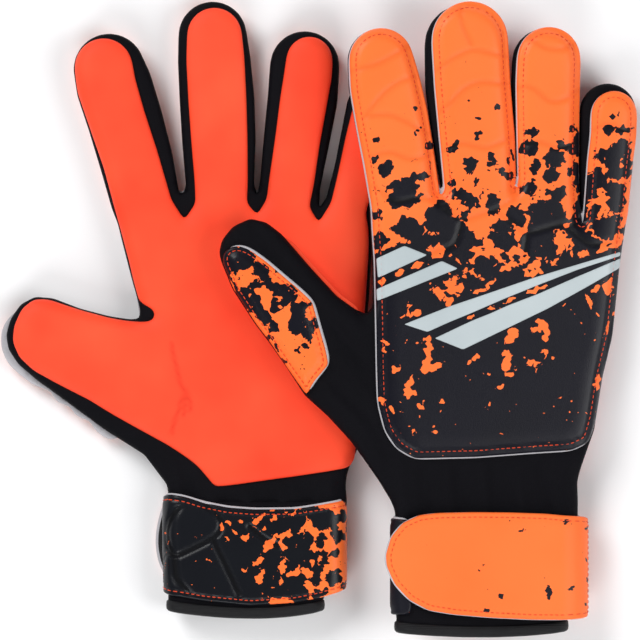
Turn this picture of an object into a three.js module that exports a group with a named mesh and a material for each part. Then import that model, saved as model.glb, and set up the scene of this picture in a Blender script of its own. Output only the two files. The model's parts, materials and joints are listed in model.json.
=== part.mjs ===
// A pair of goalkeeper gloves laid flat on a table.
// The left glove lies palm up. The right one lies back up, leans on it and lays its thumb over its palm.
// Millimetres, +Z up. X runs from the left glove to the right one, and Y from the cuffs to the fingertips.
// In both gloves the thumb is on the low-X side.
import * as THREE from 'three';

// Layers of the hand and the fingers, counted inwards from the palm face.
const LATEX = 3.5;
const LINING = 0.8;
const BACK_FOAM = 2.7;
const BACK_SKIN = 1.2;
const FINGER_BACK = 3.6;

// Layers of the wrist closure.
const STRAP = 2.4;
const PATCH = 1.0;
const CUFF_WALL = 2.2;

const GAP = 0.3; // clearance between layers that lie on each other
const ROOT_GAP = 0.6; // clearance at the crease where a finger meets the hand
const GUSSET = 2.6; // wall of the side gussets
const PALM_INSET = 1.2; // the latex stops this far inside the gusset's outer face
const BACK_INSET = 0.6; // and the back panel this far
const LINING_INSET = GUSSET + GAP; // the lining lies between the gussets

const TIP_STEPS = 16; // straight pieces in the round of a fingertip
const CORNER_STEPS = 5; // and in the round of a corner
const LIFTED_THUMB = 19.2; // height of the right thumb's palm face over the table, on the left palm

// A finger runs from its root to its tip centre. The drop is how far its palm face lies behind the palm's.
const LEFT = {
  name: 'left',
  palmUp: true,
  palmHeight: 18,
  thickness: 18,
  fingers: {
    thumb: { root: [-90.2, -22.9], tip: [-121.8, -8.8], rootHalf: 25, tipRadius: 17.6, thickness: 18, drop: 0 },
    index: { root: [-73.6, 47], tip: [-95, 113], rootHalf: 13.6, tipRadius: 13.8, thickness: 17, drop: 0 },
    middle: { root: [-44, 47], tip: [-49, 125], rootHalf: 14.8, tipRadius: 15, thickness: 17, drop: 0 },
    ring: { root: [-13.4, 47], tip: [-5, 115], rootHalf: 13.2, tipRadius: 14.5, thickness: 17, drop: 0 },
    little: { root: [12.3, 46], tip: [22, 99], rootHalf: 10.2, tipRadius: 10.6, thickness: 14, drop: 3.5 },
  },
  littleSide: [[20.6, 22], [17.6, -20], [15.4, -58]],
  thumbSide: [[-77.7, -60.7], [-90.6, -52.5]],
  wrist: { low: -69.5, high: 13.6, y: -70 },
  cuff: { low: -67.6, high: 9.4, thickness: 12, start: -2, end: -130.8 },
  strap: { top: -79.4, bottom: -124.6, tip: -73.6 },
};

const RIGHT = {
  name: 'right',
  palmUp: false,
  palmHeight: 0,
  thickness: 20,
  fingers: {
    thumb: { root: [6.6, -11.7], tip: [-31, 31], rootHalf: 20, tipRadius: 14.2, thickness: 17, drop: 0 },
    index: { root: [38.9, 44], tip: [26.7, 113.5], rootHalf: 15.4, tipRadius: 15.4, thickness: 18, drop: 0 },
    middle: { root: [71.3, 44], tip: [66.8, 125], rootHalf: 15.4, tipRadius: 16, thickness: 18, drop: 0 },
    ring: { root: [101.5, 44], tip: [102, 115.7], rootHalf: 13.5, tipRadius: 13.9, thickness: 18, drop: 0 },
    little: { root: [126.8, 44], tip: [130.8, 92.6], rootHalf: 10.6, tipRadius: 11.2, thickness: 16, drop: 0 },
  },
  littleSide: [[132.8, 13.4], [128.4, -13.4], [124.6, -44.5], [118.4, -66]],
  thumbSide: [[26.9, -72.3], [13.7, -53.8], [-4.6, -35.6]],
  wrist: { low: 30, high: 117.2, y: -76 },
  cuff: { low: 33.6, high: 114.6, thickness: 13, start: 0, end: -139.6 },
  strap: { top: -85.4, bottom: -132.2, tip: 30 },
};

const ROLL_PIVOT = 142; // the right glove lies on its little-finger edge here
const ROLL = THREE.MathUtils.degToRad(8.6); // and leans up by this towards the left glove

const BINDING_LENGTH = 5.2;
const BINDING_PROUD = 0.8; // the binding stands out past the cuff by this
const CUFF_CORNER = 4.5;
const STRAP_CORNER = 4;
const PATCH_MARGIN = 5; // the hook and loop patches stay this far inside the strap's edges
const HOOK_LENGTH = 48;
const LOOP_LENGTH = 60;

function finish(color, roughness) {
  return new THREE.MeshStandardMaterial({ color, roughness, metalness: 0 });
}

const FINISH = {
  latex: finish(0xff5535, 0.6),
  lining: finish(0x2a2a30, 0.95),
  print: finish(0xff8038, 0.42),
  foam: finish(0xdcdcde, 0.8),
  neoprene: finish(0x0d0a12, 0.85),
  hook: finish(0x18181c, 0.9),
  loop: finish(0x101014, 0.97),
};

function slab(points, depth) {
  return new THREE.ExtrudeGeometry(new THREE.Shape(points), { depth, bevelEnabled: false });
}

// A mesh that fills the layers from one depth to another, counted from the palm face of its group.
function layer(glove, group, name, material, points, from, to) {
  const mesh = new THREE.Mesh(slab(points, to - from), material);
  mesh.name = `${glove.name}_${name}`;
  mesh.position.z = glove.palmUp ? -to : from;
  group.add(mesh);
}

// The points of an arc, both ends included.
function arcPoints(x, y, radius, start, end, steps) {
  const points = [];
  for (let i = 0; i <= steps; i++) {
    const angle = start + ((end - start) * i) / steps;
    points.push(new THREE.Vector2(x + radius * Math.cos(angle), y + radius * Math.sin(angle)));
  }
  return points;
}

const QUARTER = Math.PI / 2;

// The finger's outline in its own frame: from the root's low-X side, round the tip, to the other side.
function fingerSides(finger, length, inset) {
  const rootHalf = finger.rootHalf - inset;
  const radius = finger.tipRadius - inset;
  const taper = Math.asin((rootHalf - radius) / length);
  return [
    new THREE.Vector2(-rootHalf, 0),
    ...arcPoints(0, length, radius, Math.PI - taper, taper, TIP_STEPS),
    new THREE.Vector2(rootHalf, 0),
  ];
}

function fingerAxis(finger) {
  const root = new THREE.Vector2(...finger.root);
  const along = new THREE.Vector2(...finger.tip).sub(root);
  return { root, length: along.length(), turn: along.angle() - Math.PI / 2 };
}

// One finger or thumb: a latex strip, a printed back panel and the gusset that joins them round the tip.
function fingerGroup(glove, fingerName) {
  const finger = glove.fingers[fingerName];
  const axis = fingerAxis(finger);
  const group = new THREE.Group();
  group.position.set(axis.root.x, axis.root.y, glove.palmUp ? -finger.drop : finger.drop);
  group.rotation.z = axis.turn;

  const strip = fingerSides(finger, axis.length, PALM_INSET);
  layer(glove, group, `${fingerName}_palm_strip`, FINISH.latex, strip, 0, LATEX);

  const outer = fingerSides(finger, axis.length, 0);
  const inner = fingerSides(finger, axis.length, GUSSET).reverse();
  const gussetEnd = finger.thickness - FINGER_BACK - GAP;
  layer(glove, group, `${fingerName}_gusset`, FINISH.neoprene, [...outer, ...inner], LATEX + GAP, gussetEnd);

  const back = fingerSides(finger, axis.length, BACK_INSET);
  layer(glove, group, `${fingerName}_back_panel`, FINISH.print, back, gussetEnd + GAP, finger.thickness);
  return group;
}

// The two corners of a finger's root, stepped back from it by the crease's clearance.
function rootCorners(finger) {
  const axis = fingerAxis(finger);
  const centre = new THREE.Vector2();
  return [-finger.rootHalf, finger.rootHalf].map((x) =>
    new THREE.Vector2(x, -ROOT_GAP).rotateAround(centre, axis.turn).add(axis.root));
}

// The hand's outline, clockwise from the index finger's root, with the stretches that the gussets follow.
function handOutline(glove) {
  const fingers = glove.fingers;
  const crown = ['index', 'middle', 'ring', 'little'].flatMap((name) => rootCorners(fingers[name]));
  const littleSide = glove.littleSide.map((p) => new THREE.Vector2(...p));
  const wrist = [
    new THREE.Vector2(glove.wrist.high, glove.wrist.y),
    new THREE.Vector2(glove.wrist.low, glove.wrist.y),
  ];
  const thumbSide = glove.thumbSide.map((p) => new THREE.Vector2(...p));
  const thumbRoot = rootCorners(fingers.thumb);
  const points = [...crown, ...littleSide, ...wrist, ...thumbSide, ...thumbRoot];
  const wristHigh = crown.length + littleSide.length;
  const thumbLow = wristHigh + wrist.length + thumbSide.length;
  return {
    points,
    littleRange: [crown.length - 1, wristHigh],
    thumbRange: [wristHigh + 1, thumbLow],
    webRange: [thumbLow + 1, points.length],
  };
}

// Moves every edge of a closed clockwise outline inwards by the same amount.
function insetLoop(points, amount) {
  const inward = (a, b) => new THREE.Vector2(b.y - a.y, a.x - b.x).normalize();
  return points.map((point, i) => {
    const before = inward(points[(i + points.length - 1) % points.length], point);
    const after = inward(point, points[(i + 1) % points.length]);
    const middle = before.clone().add(after).normalize();
    return point.clone().addScaledVector(middle, amount / middle.dot(before));
  });
}

// The wall that follows one stretch of the outline.
function wallAlong(points, range, thickness) {
  const inner = insetLoop(points, thickness);
  const indices = [];
  for (let i = range[0]; i <= range[1]; i++) {
    indices.push(i % points.length);
  }
  const outerSide = indices.map((i) => points[i]);
  const innerSide = indices.map((i) => inner[i]).reverse();
  return [...outerSide, ...innerSide];
}

function handGroup(glove) {
  const group = new THREE.Group();
  const outline = handOutline(glove);
  const foamStart = glove.thickness - BACK_SKIN - GAP - BACK_FOAM;
  const skinStart = glove.thickness - BACK_SKIN;
  const wallStart = LATEX + GAP;
  const wallEnd = foamStart - GAP;

  layer(glove, group, 'palm_latex', FINISH.latex, outline.points, 0, LATEX);
  const lining = insetLoop(outline.points, LINING_INSET);
  layer(glove, group, 'palm_lining', FINISH.lining, lining, wallStart, wallStart + LINING);

  const walls = {
    little_side_gusset: outline.littleRange,
    thumb_side_gusset: outline.thumbRange,
    index_side_gusset: outline.webRange,
  };
  for (const [name, range] of Object.entries(walls)) {
    const points = wallAlong(outline.points, range, GUSSET);
    layer(glove, group, name, FINISH.neoprene, points, wallStart, wallEnd);
  }

  const foam = insetLoop(outline.points, BACK_INSET);
  layer(glove, group, 'backhand_foam', FINISH.foam, foam, foamStart, foamStart + BACK_FOAM);
  const skin = insetLoop(outline.points, 2 * BACK_INSET);
  layer(glove, group, 'backhand_skin', FINISH.print, skin, skinStart, glove.thickness);
  return group;
}

function roundRectangle(lowX, highX, lowZ, highZ, radius) {
  return [
    ...arcPoints(lowX + radius, lowZ + radius, radius, 2 * QUARTER, 3 * QUARTER, CORNER_STEPS),
    ...arcPoints(highX - radius, lowZ + radius, radius, 3 * QUARTER, 4 * QUARTER, CORNER_STEPS),
    ...arcPoints(highX - radius, highZ - radius, radius, 0, QUARTER, CORNER_STEPS),
    ...arcPoints(lowX + radius, highZ - radius, radius, QUARTER, 2 * QUARTER, CORNER_STEPS),
  ];
}

// A section in X and Z, drawn out along the glove from its top edge to its bottom edge.
function drawnAlong(glove, group, name, material, shape, top, bottom) {
  const geometry = new THREE.ExtrudeGeometry(shape, { depth: top - bottom, bevelEnabled: false });
  geometry.rotateX(QUARTER);
  const mesh = new THREE.Mesh(geometry, material);
  mesh.name = `${glove.name}_${name}`;
  mesh.position.y = top;
  group.add(mesh);
}

// The height span of a pair of depths, in the glove's own frame.
function heights(glove, from, to) {
  return glove.palmUp ? [-to, -from] : [from, to];
}

function tube(glove, lowX, highX, from, to, wall) {
  const [lowZ, highZ] = heights(glove, from, to);
  const shape = new THREE.Shape(roundRectangle(lowX, highX, lowZ, highZ, CUFF_CORNER));
  const inside = [lowX + wall, highX - wall, lowZ + wall, highZ - wall];
  shape.holes.push(new THREE.Path(roundRectangle(...inside, CUFF_CORNER - wall)));
  return shape;
}

// The strap's fixed part in section: across the palm side and up round both edges of the cuff.
function wrapSection(glove, lowX, highX, from, to) {
  const outerLow = lowX - GAP - STRAP;
  const outerHigh = highX + GAP + STRAP;
  const bend = STRAP_CORNER - STRAP;
  const lowBend = [outerLow + STRAP_CORNER, from + STRAP_CORNER];
  const highBend = [outerHigh - STRAP_CORNER, from + STRAP_CORNER];
  const points = [
    new THREE.Vector2(outerLow, to),
    ...arcPoints(...lowBend, STRAP_CORNER, 2 * QUARTER, 3 * QUARTER, CORNER_STEPS),
    ...arcPoints(...highBend, STRAP_CORNER, 3 * QUARTER, 4 * QUARTER, CORNER_STEPS),
    new THREE.Vector2(outerHigh, to),
    new THREE.Vector2(outerHigh - STRAP, to),
    ...arcPoints(...highBend, bend, 4 * QUARTER, 3 * QUARTER, CORNER_STEPS),
    ...arcPoints(...lowBend, bend, 3 * QUARTER, 2 * QUARTER, CORNER_STEPS),
    new THREE.Vector2(outerLow + STRAP, to),
  ];
  const side = glove.palmUp ? -1 : 1;
  return new THREE.Shape(points.map((point) => new THREE.Vector2(point.x, side * point.y)));
}

// The flap's outline from above: square at the little-finger edge and round at the thumb side.
function flapOutline(glove) {
  const { top, bottom, tip } = glove.strap;
  const radius = (top - bottom) / 2;
  const end = glove.cuff.high + GAP + STRAP;
  return [
    new THREE.Vector2(end, top),
    ...arcPoints(tip + radius, bottom + radius, radius, QUARTER, 3 * QUARTER, TIP_STEPS),
    new THREE.Vector2(end, bottom),
  ];
}

function patchOutline(glove, lowX, length) {
  const high = glove.strap.top - PATCH_MARGIN;
  const low = glove.strap.bottom + PATCH_MARGIN;
  return [
    new THREE.Vector2(lowX, low),
    new THREE.Vector2(lowX + length, low),
    new THREE.Vector2(lowX + length, high),
    new THREE.Vector2(lowX, high),
  ];
}

// The neoprene cuff, its binding, the fixed strap round it and the flap that closes over the back.
function closureGroup(glove) {
  const group = new THREE.Group();
  const { low, high, thickness, start, end } = glove.cuff;
  const cuffStart = start + STRAP + GAP;
  const cuffEnd = cuffStart + thickness;
  const loopStart = cuffEnd + GAP;
  const hookStart = loopStart + PATCH + GAP;
  const flapStart = hookStart + PATCH + GAP;
  const cuffTop = glove.wrist.y - GAP;
  const bindingTop = end + BINDING_LENGTH;

  const cuff = tube(glove, low, high, cuffStart, cuffEnd, CUFF_WALL);
  drawnAlong(glove, group, 'wrist_neoprene', FINISH.neoprene, cuff, cuffTop, bindingTop + GAP);
  const binding = tube(
    glove, low - BINDING_PROUD, high + BINDING_PROUD, cuffStart - BINDING_PROUD, cuffEnd + BINDING_PROUD,
    CUFF_WALL + BINDING_PROUD);
  drawnAlong(glove, group, 'cuff_binding', FINISH.neoprene, binding, bindingTop, end);

  const wrap = wrapSection(glove, low, high, start, flapStart - GAP);
  drawnAlong(glove, group, 'strap_wrap', FINISH.print, wrap, glove.strap.top, glove.strap.bottom);

  const patchLow = low + PATCH_MARGIN;
  const loop = patchOutline(glove, patchLow, LOOP_LENGTH);
  layer(glove, group, 'loop_patch', FINISH.loop, loop, loopStart, loopStart + PATCH);
  const hook = patchOutline(glove, patchLow, HOOK_LENGTH);
  layer(glove, group, 'hook_patch', FINISH.hook, hook, hookStart, hookStart + PATCH);
  layer(glove, group, 'strap_flap', FINISH.print, flapOutline(glove), flapStart, flapStart + STRAP);
  return group;
}

function leftGlove() {
  const group = new THREE.Group();
  group.position.z = LEFT.palmHeight;
  group.add(handGroup(LEFT), closureGroup(LEFT));
  for (const name of Object.keys(LEFT.fingers)) {
    group.add(fingerGroup(LEFT, name));
  }
  return group;
}

// The right glove leans as a whole, but its thumb lies level on the left glove's palm.
function rightGlove() {
  const group = new THREE.Group();
  const leaning = new THREE.Group();
  leaning.position.set(ROLL_PIVOT, 0, RIGHT.palmHeight);
  leaning.rotation.y = ROLL;
  const laid = new THREE.Group();
  laid.position.x = -ROLL_PIVOT;
  laid.add(handGroup(RIGHT), closureGroup(RIGHT));
  for (const name of ['index', 'middle', 'ring', 'little']) {
    laid.add(fingerGroup(RIGHT, name));
  }
  leaning.add(laid);
  const thumb = fingerGroup(RIGHT, 'thumb');
  thumb.position.z = LIFTED_THUMB;
  group.add(leaning, thumb);
  return group;
}

// The origin is the middle of the pair's own box, on the table.
const pair = new THREE.Group();
pair.add(leftGlove(), rightGlove());
pair.updateMatrixWorld(true);
const box = new THREE.Box3().setFromObject(pair, true);
const middle = box.getCenter(new THREE.Vector3());
pair.position.set(-middle.x, -middle.y, -box.min.z);
pair.updateMatrixWorld(true);

export default pair;
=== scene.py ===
import json
import math

import bpy
import numpy as np
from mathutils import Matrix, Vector
from mathutils.geometry import delaunay_2d_cdt


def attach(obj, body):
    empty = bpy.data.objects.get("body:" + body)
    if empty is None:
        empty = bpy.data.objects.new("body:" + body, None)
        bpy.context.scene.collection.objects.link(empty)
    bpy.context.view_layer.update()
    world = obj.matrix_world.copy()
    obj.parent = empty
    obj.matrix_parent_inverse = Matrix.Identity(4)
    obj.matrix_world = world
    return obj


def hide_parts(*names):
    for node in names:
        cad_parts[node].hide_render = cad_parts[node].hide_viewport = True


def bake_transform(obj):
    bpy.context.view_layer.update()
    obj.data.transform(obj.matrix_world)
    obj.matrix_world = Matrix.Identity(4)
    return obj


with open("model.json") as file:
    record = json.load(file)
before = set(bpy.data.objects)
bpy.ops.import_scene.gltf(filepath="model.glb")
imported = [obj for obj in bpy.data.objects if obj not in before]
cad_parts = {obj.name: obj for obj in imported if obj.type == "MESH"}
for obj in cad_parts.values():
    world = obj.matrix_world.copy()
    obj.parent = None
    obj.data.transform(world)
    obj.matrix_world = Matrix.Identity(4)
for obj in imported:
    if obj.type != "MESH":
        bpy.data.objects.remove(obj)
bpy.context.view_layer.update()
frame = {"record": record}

# ---------------------------------------------------------------------------
# Table, lamps and camera. The pair lies on a plain pale table under wide soft
# lamps, and is looked at straight down. Shapes below are drawn in millimetres
# on one sheet for both gloves; the left index finger's seam ties it to the frame.
MM = 0.001
LEFT_INDEX_SEAM = (-73.6, 47.0)
VIEW_WIDTH = 284.8
CAMERA_HEIGHT = 3.6
SENSOR = 36.0
GLOVE_HEIGHT = 0.018

joints = {joint["name"]: joint for joint in frame["record"]["behaviour"]["joints"]}
seam_in_frame = np.array(joints["left_index_flex"]["pos_m"][:2])
SHEET_ORIGIN = seam_in_frame - np.array(LEFT_INDEX_SEAM) * MM

scene = bpy.context.scene
scene.view_settings.view_transform = "Standard"

bpy.ops.object.select_all(action="DESELECT")
bpy.ops.mesh.primitive_plane_add(size=6, location=(0, 0, 0))
table = bpy.context.object
table.name = "table"
table_paint = bpy.data.materials.new("pale_table")
table_paint.use_nodes = True
table_shader = table_paint.node_tree.nodes["Principled BSDF"]
table_shader.inputs["Base Color"].default_value = (0.86, 0.86, 0.87, 1)
table_shader.inputs["Roughness"].default_value = 0.7
table.data.materials.append(table_paint)

bpy.ops.object.camera_add(location=(SHEET_ORIGIN[0], SHEET_ORIGIN[1], CAMERA_HEIGHT))
camera = bpy.context.object
camera.data.sensor_width = SENSOR
camera.data.lens = SENSOR * (CAMERA_HEIGHT - GLOVE_HEIGHT) / (VIEW_WIDTH * MM)
scene.camera = camera


def lamp(name, place, size, power):
    """A square soft lamp that faces the middle of the pair."""
    bpy.ops.object.light_add(type="AREA", location=place)
    light = bpy.context.object
    light.name = name
    light.data.size = size
    light.data.energy = power
    light.rotation_euler = (-Vector(place)).to_track_quat("-Z", "Y").to_euler()
    return light


lamp("window_lamp", (-1.1, 1.2, 1.5), 1.1, 35)
lamp("fill_lamp", (1.5, -0.4, 1.4), 1.4, 25)
lamp("low_lamp", (-0.5, -1.6, 1.2), 1.2, 22)

sky = bpy.data.worlds.new("studio")
sky.use_nodes = True
sky.node_tree.nodes["Background"].inputs["Color"].default_value = (1, 1, 1, 1)
sky.node_tree.nodes["Background"].inputs["Strength"].default_value = 0.22
scene.world = sky

# ---------------------------------------------------------------------------
# Neoprene hands. Each glove's sides and finger gussets are one black knitted
# neoprene, five or six millimetres proud of its middle each way, with soft folds
# at the wrist. Palm and back are sewn onto it.
#
# Every soft panel is cut to a smooth outline, laid out as fine triangles and given
# a thickness that swells inwards from its edge. It is parted along each finger's
# seam, into one piece for the hand and one past each seam.
SEAMS = {
    "left": {
        "thumb": ((-96.0, -21.0), (-0.913, 0.408)),
        "index": ((-78.1, 57.5), (-0.275, 0.961)),
        "middle": ((-44.6, 58.0), (-0.03, 1.0)),
        "ring": ((-13.4, 58.5), (0.129, 0.992)),
        "little": ((14.2, 53.0), (0.2, 0.98)),
    },
    "right": {
        "thumb": ((4.0, -8.0), (-0.661, 0.75)),
        "index": ((37.2, 60.0), (-0.188, 0.982)),
        "middle": ((70.2, 63.6), (-0.085, 0.996)),
        "ring": ((100.8, 65.0), (0.0, 1.0)),
        "little": ((126.0, 48.0), (0.08, 0.997)),
    },
}
FINGERS = ("index", "middle", "ring", "little")
BEND_LENGTH = 22.0
BEND_HEIGHT = 9.0
CLOTH_STEP = 2.6
EDGE_STEP = 1.3
RIMS = (0.35, 0.9, 1.8)
LEAN = math.tan(math.radians(8.6))
LEAN_PIVOT = 142.0
LEVEL_THUMB = 19.2
LITTLE_SQUEEZE = 0.18


def finger_edge(stations):
    """Up one side of a finger, round its tip and down the other; stations are (x, y, half width)."""
    path = np.array(stations, float)
    middle = path[:, :2]
    half = path[:, 2:]
    along = np.gradient(middle, axis=0)
    along /= np.hypot(*along.T)[:, None]
    side = np.stack([-along[:, 1], along[:, 0]], axis=1)
    turn = np.linspace(0, math.pi, 11)[1:-1, None]
    tip = middle[-1] + half[-1] * (np.cos(turn) * side[-1] + np.sin(turn) * along[-1])
    return [*(middle + side * half), *tip, *(middle - side * half)[::-1]]


def even_points(line, step):
    """The same line, with points a step apart."""
    reach = np.concatenate([[0], np.cumsum(np.hypot(*np.diff(line, axis=0).T))])
    count = max(2, round(reach[-1] / step))
    wanted = np.linspace(0, reach[-1], count + 1)
    return np.stack([np.interp(wanted, reach, line[:, axis]) for axis in (0, 1)], axis=1)


def soft_outline(points, spread=1.5, step=EDGE_STEP):
    """A closed outline through given points, with its corners eased."""
    corners = np.array([*points, points[0]], float)
    dense = even_points(corners, 0.5)[:-1]
    shifts = np.arange(-16, 17)
    weights = np.exp(-0.5 * (shifts * 0.5 / spread) ** 2)
    weights /= weights.sum()
    eased = sum(weight * np.roll(dense, -shift, axis=0) for weight, shift in zip(weights, shifts))
    return even_points(np.vstack([eased, eased[:1]]), step)[:-1]


def stretch_distance(points, starts, ends):
    """How far each point lies from the nearest of some straight stretches."""
    run_x, run_y = (ends - starts).T
    square = run_x ** 2 + run_y ** 2 + 1e-12
    found = np.empty(len(points))
    for first in range(0, len(points), 500):
        some = points[first:first + 500]
        gap_x = some[:, :1] - starts[:, 0]
        gap_y = some[:, 1:] - starts[:, 1]
        share = np.clip((gap_x * run_x + gap_y * run_y) / square, 0, 1)
        off = (gap_x - share * run_x) ** 2 + (gap_y - share * run_y) ** 2
        found[first:first + 500] = np.sqrt(off.min(axis=1))
    return found


def edge_distance(points, outline):
    """How far each point lies from the nearest stretch of a closed outline."""
    return stretch_distance(points, outline, np.roll(outline, -1, axis=0))


def inside(points, outline):
    """True for each point that a closed outline goes round."""
    crossings = np.zeros(len(points), int)
    for (x0, y0), (x1, y1) in zip(outline, np.roll(outline, -1, axis=0)):
        if y0 == y1:
            continue
        spans = (points[:, 1] >= min(y0, y1)) & (points[:, 1] < max(y0, y1))
        meet = x0 + (points[:, 1] - y0) * (x1 - x0) / (y1 - y0)
        crossings += spans & (points[:, 0] < meet)
    return crossings % 2 == 1


def inward(outline):
    """The direction into the cloth at each point of an outline."""
    run = np.roll(outline, -1, axis=0) - np.roll(outline, 1, axis=0)
    run /= np.hypot(*run.T)[:, None]
    turn = np.roll(outline, -1, axis=0)
    area = (outline[:, 0] * turn[:, 1] - turn[:, 0] * outline[:, 1]).sum()
    return np.stack([-run[:, 1], run[:, 0]], axis=1) * (1 if area > 0 else -1)


def inset(outline, amount, step=EDGE_STEP, spread=1.2):
    """The outline moved into the cloth by an amount, or out of it if that is below nothing."""
    moved = outline + inward(outline) * amount
    kept = moved[edge_distance(moved, outline) > abs(amount) * 0.96]
    return soft_outline(kept, spread, step)


def ease(value):
    """0 below 0 and 1 above 1, with a smooth way between."""
    held = np.clip(value, 0, 1)
    return held * held * (3 - 2 * held)


def swell(distance, reach, power=2.6):
    """How full a rounded edge is: nothing on the outline, and 1 from its reach inwards."""
    share = np.clip(distance / reach, 0, 1)
    return (1 - (1 - share) ** power) ** (1 / power)


def lay_out(outline, seams, step, rims):
    """Fine triangles over an outline, and the part of each: 0 for the hand, 1 and up past each seam."""
    keyed = [(float(number), tuple(point)) for number, point in enumerate(outline)]
    following = np.roll(outline, -1, axis=0)
    chains = []
    for origin, along in seams:
        ahead = (outline - origin) @ np.array(along)
        after = np.roll(ahead, -1)
        hits = np.nonzero((ahead > 0) != (after > 0))[0]
        share = ahead[hits] / (ahead - after)[hits]
        crossings = outline[hits] + share[:, None] * (following[hits] - outline[hits])
        sideways = (crossings - origin) @ np.array([-along[1], along[0]])
        ends = (np.argmin(np.where(sideways > 0, sideways, 1e9)),
                np.argmax(np.where(sideways < 0, sideways, -1e9)))
        keyed += [(hits[end] + share[end], tuple(crossings[end])) for end in ends]
        chains.append(even_points(crossings[list(ends)], step * 0.6))
    keyed.sort()
    loop = np.array([point for _, point in keyed])
    points = [loop]
    edges = [(number, (number + 1) % len(loop)) for number in range(len(loop))]
    total = len(loop)
    seam_edges = []
    for chain in chains:
        first = int(np.argmin(np.hypot(*(loop - chain[0]).T)))
        last = int(np.argmin(np.hypot(*(loop - chain[-1]).T)))
        numbers = [first, *range(total, total + len(chain) - 2), last]
        points.append(chain[1:-1])
        total += len(chain) - 2
        seam_edges += list(zip(numbers, numbers[1:]))
    inner = [loop + inward(loop) * rim for rim in rims]
    inner = [ring[edge_distance(ring, loop) > 0.93 * rim] for ring, rim in zip(inner, rims)]
    low, high = outline.min(axis=0), outline.max(axis=0)
    rows = np.arange(low[1], high[1], step * 0.866)
    comb = [np.stack([np.arange(low[0] + (row % 2) * step / 2, high[0], step),
                      np.full(len(np.arange(low[0] + (row % 2) * step / 2, high[0], step)), y)], axis=1)
            for row, y in enumerate(rows)]
    comb = np.vstack(comb)
    comb = comb[inside(comb, outline)]
    comb = comb[edge_distance(comb, outline) > rims[-1] + 0.55 * step]
    loose = np.vstack([*inner, comb])
    for chain in chains:
        loose = loose[edge_distance(loose, chain) > 0.4 * min(step, EDGE_STEP * 1.5)]
    flat = np.vstack([*points, loose])
    made = delaunay_2d_cdt([Vector(point) for point in flat], edges + seam_edges, [], 1, 1e-7)
    spots = np.array([tuple(spot) for spot in made[0]])
    triangles = np.array([face for face in made[2] if len(face) == 3])
    corner = spots[triangles]
    turn = np.cross(corner[:, 1] - corner[:, 0], corner[:, 2] - corner[:, 0])
    triangles[turn < 0] = triangles[turn < 0][:, ::-1]
    triangles = triangles[np.abs(turn) > 1e-9]
    walls = {frozenset(edge) for edge, sources in zip(made[1], made[4])
             if any(source >= len(edges) for source in sources)}
    beside = {}
    for number, face in enumerate(triangles):
        for a, b in zip(face, np.roll(face, -1)):
            beside.setdefault(frozenset((int(a), int(b))), []).append(number)
    part = np.zeros(len(triangles), int)
    middles = spots[triangles].mean(axis=1)
    for label, (origin, along) in enumerate(seams, start=1):
        seed = int(np.argmin(np.hypot(*(middles - np.array(origin) - np.array(along) * 8).T)))
        waiting = [seed]
        part[seed] = label
        while waiting:
            face = triangles[waiting.pop()]
            for a, b in zip(face, np.roll(face, -1)):
                edge = frozenset((int(a), int(b)))
                if edge in walls:
                    continue
                for other in beside[edge]:
                    if part[other] != label:
                        part[other] = label
                        waiting.append(other)
    return spots, triangles, part


def lay_on_glove(glove):
    """Turns sheet millimetres and a height over the glove's lower face into a place in the frame."""
    def put(flat, height, part):
        x, y = flat.T
        if glove == "left":
            level = np.zeros(len(x))
            if part == "little":
                origin, along = SEAMS[glove][part]
                height = height * (1 - LITTLE_SQUEEZE * ease((flat - origin) @ np.array(along) / 25))
        else:
            slope = (LEAN_PIVOT - x) * LEAN
            level = -0.6 * np.log(np.exp(-slope / 0.6) + math.exp(-LEVEL_THUMB / 0.6))
        return np.stack([x * MM + SHEET_ORIGIN[0], y * MM + SHEET_ORIGIN[1], (height + level) * MM], axis=1)
    return put


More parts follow.
